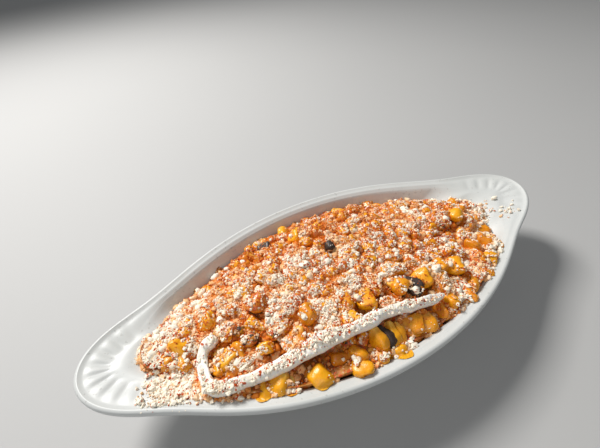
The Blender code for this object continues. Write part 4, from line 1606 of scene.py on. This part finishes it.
@dataclass
class Topping:
    """Crumbled cheese and chili powder: where each lies, and how thickly."""

    field: HeapField
    crema: CremaRibbon
    ceiling: float
    half: tuple[float, float] = GROUND_HALF
    chili_tone: float = 0.55

    def bare(self, x: Array, y: Array) -> Array:
        """How bare the food is: 1 over the chosen kernels and fading out round them."""
        chosen = hero_kernels()
        places = np.array([(one.x, one.y) for one in chosen])
        weight = np.array([1.0 - 0.9 * one.dust for one in chosen])
        near = np.hypot(x[:, None] - places[:, 0], y[:, None] - places[:, 1])
        return np.max((1.0 - smooth(0.0028, 0.0050, near)) * weight, axis=1)

    def on_crema(self, x: Array, y: Array) -> Array:
        """1 where the ribbon of crema lies open, else 0: its near half, and all of its hook."""
        away, across, share = self.crema.distance(x, y)
        hook = 1.0 - smooth(0.20, 0.28, share)
        body = 1.0 - smooth(0.0020, 0.0032, away)
        near = 1.0 - smooth(-0.0004, 0.0010, across)
        ends = smooth(0.02, 0.07, share) * smooth(0.04, 0.12, 1.0 - share)
        return body * ends * np.maximum(near, 0.8 * hook)

    def near_band(self, x: Array, y: Array) -> Array:
        """1 in the strip between the crema and the near rim, else 0."""
        line = self.crema.middle(np.linspace(0.0, 1.0, 200))
        main = line[(line[:, 1] < -0.026)]
        order = np.argsort(main[:, 0])
        lip = np.interp(x, main[order, 0], main[order, 1])
        strip = 1.0 - smooth(-0.0034, -0.0022, y - lip)
        ends = smooth(-0.071, -0.062, x) * (1.0 - smooth(0.030, 0.046, x))
        return strip * ends

    def patches(self, x: Array, y: Array, cell: float, seed: int) -> Array:
        """Uneven patches between 0 and 1."""
        return smooth(0.30, 0.70, layered_noise(in_plane(x, y), cell, seed, 3))

    def cheese(self, x: Array, y: Array) -> Array:
        """Density of the cheese over the plan."""
        share, _ = self.field.reach(x, y)
        inside = 1.0 - smooth(0.94, 1.01, share)
        cover = 0.30 + 0.70 * self.patches(x, y, 0.009, 61)
        cover = cover * (1.0 - 0.92 * self.near_band(x, y)) * (1.0 - 0.97 * self.bare(x, y))
        cover = cover * (1.0 - 0.80 * self.on_crema(x, y))
        right = 0.55 * smooth(0.052, 0.068, x)
        far = smooth(0.014, 0.036, y) * (1.0 - smooth(0.040, 0.060, np.abs(x)))
        return inside * cover * (1.0 - 0.72 * far) * (1.0 - right)

    def spill(self, x: Array, y: Array) -> Array:
        """Density of the crumbs that lie loose on the dish round the food."""
        share, _ = self.field.reach(x, y)
        ring = smooth(0.93, 0.98, share) * np.exp(-(np.maximum(share - 0.98, 0.0) / 0.035) ** 2)
        ends = smooth(0.050, 0.080, np.abs(x))
        near = 0.4 * (y < -0.02) * smooth(1.03, 1.0, share)
        clumps = self.patches(x, y, 0.007, 67) ** 1.5
        drift = np.exp(-((x + 0.084) / 0.007) ** 2 - ((y + 0.018) / 0.006) ** 2)
        right = np.exp(-((x - 0.091) / 0.005) ** 2 - ((y + 0.009) / 0.006) ** 2)
        loose = ring * clumps * (0.25 + 0.75 * ends + near)
        return np.clip(loose + 0.9 * drift + 0.8 * right * clumps, 0.0, 1.0)

    def chili(self, x: Array, y: Array) -> Array:
        """Density of the chili powder over the plan."""
        share, _ = self.field.reach(x, y)
        inside = 1.0 - smooth(0.94, 1.02, share)
        cover = 0.12 + 0.88 * self.patches(x, y, 0.007, 71) ** 1.5
        ends = 1.0 - 0.65 * smooth(0.045, 0.080, np.abs(x + 0.004))
        cover = cover * (1.0 - 0.80 * self.near_band(x, y)) * (1.0 - 0.80 * self.bare(x, y))
        cover = cover * (1.0 - 0.70 * self.on_crema(x, y))
        return inside * cover * ends

    def stain(self, x: Array, y: Array) -> Array:
        """How orange the cheese is stained over the plan."""
        patch = self.patches(x, y, 0.006, 73)
        far = smooth(0.000, 0.036, y)
        ends = smooth(0.050, 0.088, np.abs(x))
        cream = self.on_crema(x, y)
        return np.clip(0.22 + 0.40 * patch + 0.55 * far - 0.30 * ends - 0.35 * cream, 0.0, 0.95)

    def pale(self, x: Array, y: Array) -> Array:
        """Stain of the spilled crumbs: hardly any."""
        return 0.10 + 0.25 * self.patches(x, y, 0.006, 79)

    def even(self, x: Array, y: Array) -> Array:
        """Stain of the chili itself: the same everywhere."""
        return np.full(np.shape(x), self.chili_tone)

    def build(self, cheese: bpy.types.Material, chili: bpy.types.Material,
              ground: HeightMap) -> list[bpy.types.Object]:
        """Drops curds, crumbs, fine crumbs and chili, each on those before.

        Args:
            cheese: finish of the cheese.
            chili: finish of the chili.
            ground: height map to drop on, raised by each kind.

        Returns:
            The pieces, in the order they were dropped.
        """
        curd, crumb, fine, flake = GrainKind.CURD, GrainKind.CRUMB, GrainKind.FINE, GrainKind.FLAKE
        food, loose = (self.cheese, self.stain), (self.spill, self.pale)
        rows = (
            ("cheese_curds", curd, 1100, 0.0018, 0.0042, 0.85, 101, food),
            ("cheese_crumbs", crumb, 9000, 0.0010, 0.0021, 0.9, 103, food),
            ("loose_cheese", crumb, 3200, 0.0009, 0.0018, 0.9, 115, food),
            ("spilled_crumbs", crumb, 1900, 0.0009, 0.0028, 0.9, 107, loose),
            ("top_curds", curd, 320, 0.0018, 0.0036, 0.8, 117, (self.cheese, self.pale)),
            ("fine_cheese", fine, 15500, 0.0007, 0.0012, 0.95, 105, food),
            ("spilled_dust", fine, 1400, 0.0004, 0.0009, 0.8, 109, loose),
        )
        made = [GrainScatter(*row[:7]).build(cheese, *row[7], ground, self.ceiling) for row in rows]
        flakes = GrainScatter("chili_flakes", flake, 9000, 0.00045, 0.0012, 0.7, 111, rough=0.45)
        made.append(flakes.build(chili, self.chili, self.even, ground, self.ceiling))
        return made


# ------------------------------------------------------------------ studio
@dataclass(frozen=True)
class AreaLamp:
    """Soft square light: where it stands, what it faces, its size and its power."""

    name: str
    place: tuple[float, float, float]
    size: float
    power: float
    colour: Colour = (1.0, 1.0, 1.0)
    target: tuple[float, float, float] = (0.0, 0.0, 0.03)

    def build(self) -> None:
        """Adds the lamp, turned to its target."""
        lamp = bpy.data.lights.new(self.name, "AREA")
        lamp.shape = "SQUARE"
        lamp.size = self.size
        lamp.energy = self.power
        lamp.color = self.colour
        holder = bpy.data.objects.new(self.name, lamp)
        away = Vector(self.target) - Vector(self.place)
        turn = away.to_track_quat("-Z", "Y").to_matrix().to_4x4()
        holder.matrix_world = Matrix.Translation(self.place) @ turn
        bpy.context.scene.collection.objects.link(holder)


@dataclass(frozen=True)
class Studio:
    """Pale floor, soft lights and the camera."""

    rim_height: float
    focal: float = 20.1324
    sensor: float = 36.0
    eye: tuple[float, float, float] = (-0.057523, -0.087729, 0.121208)
    right: tuple[float, float, float] = (0.88628, -0.45719, -0.07407)
    up: tuple[float, float, float] = (0.35633, 0.57092, 0.73965)
    forward: tuple[float, float, float] = (0.29587, 0.68193, -0.66891)
    floor_half: float = 4.0
    ambient: float = 0.19

    def camera(self) -> None:
        """Wide camera close over the near left side, rolled a little."""
        lens = bpy.data.cameras.new("camera")
        lens.sensor_fit = "HORIZONTAL"
        lens.sensor_width = self.sensor
        lens.lens = self.focal
        lens.clip_start = 0.005
        holder = bpy.data.objects.new("camera", lens)
        axes = Matrix((self.right, self.up, tuple(-v for v in self.forward))).transposed()
        eye = Vector(self.eye) + Vector((0.0, 0.0, self.rim_height))
        holder.matrix_world = Matrix.Translation(eye) @ axes.to_4x4()
        bpy.context.scene.collection.objects.link(holder)
        bpy.context.scene.camera = holder

    def floor(self) -> None:
        """Large pale floor with a faint mottle."""
        material = bpy.data.materials.new("pale floor")
        material.use_nodes = True
        graph = Graph(material.node_tree)
        shader = material.node_tree.nodes["Principled BSDF"]
        tint = graph.noise(graph.place(), 3.0, 2.0)
        graph.put(shader.inputs["Base Color"],
                  graph.mix(tint, (0.44, 0.44, 0.44), (0.47, 0.47, 0.465)))
        shader.inputs["Roughness"].default_value = 0.7
        half = self.floor_half
        corners = np.array([(-half, -half, 0), (half, -half, 0), (half, half, 0), (-half, half, 0)])
        quad = np.array([[0, 1, 2, 3]])
        new_mesh("floor", corners, [quad], material, rounded=False)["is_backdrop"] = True

    def world(self) -> None:
        """Even pale surroundings."""
        world = bpy.data.worlds.new("studio")
        world.use_nodes = True
        back = world.node_tree.nodes["Background"]
        back.inputs["Color"].default_value = (0.95, 0.98, 1.0, 1.0)
        back.inputs["Strength"].default_value = self.ambient
        bpy.context.scene.world = world

    def build(self) -> None:
        """Sets up floor, surroundings, lamps and camera."""
        self.floor()
        self.world()
        AreaLamp("key", (-0.30, 0.62, 0.80), 0.30, 13.2, (1.0, 0.98, 0.95)).build()
        AreaLamp("fill", (-0.55, -0.70, 0.75), 0.80, 3.0).build()
        self.camera()
        bpy.context.scene.view_settings.view_transform = "Standard"
        bpy.context.scene.view_settings.look = "None"


# ------------------------------------------------------------------ whole
def record_sizes() -> None:
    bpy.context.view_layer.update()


def main() -> None:
    """Builds dish, food, toppings and studio in order, and reports each piece."""
    logging.basicConfig(level=logging.INFO, format="%(name)s: %(message)s")
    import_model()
    cad_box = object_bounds()
    effects = Effects()
    shape = DishShape()
    heap = HeapField(shape)
    crema = CremaRibbon(heap)
    dish = PorcelainDish(shape).build(PorcelainGlaze().build(effects))
    bed = CornBed(heap).build(MoistBedWithPaintedShade().build(effects))
    bowl = HeightMap([dish], GROUND_HALF, BOWL_CELL)
    kernels = KernelHeap(heap, crema, bowl).build(RoastedCorn().build(effects))
    ribbon = crema.build(SmoothCrema().build(effects))
    topping = Topping(heap, crema, cad_box[1][2] - CEILING_GAP)
    ground = HeightMap([dish, bed, *kernels, ribbon], topping.half)
    topping.build(CrumbledCheese().build(effects), ChiliPowder().build(effects), ground)
    Studio(shape.rim_height).build()
    record_sizes()


if __name__ == "__main__":
    main()
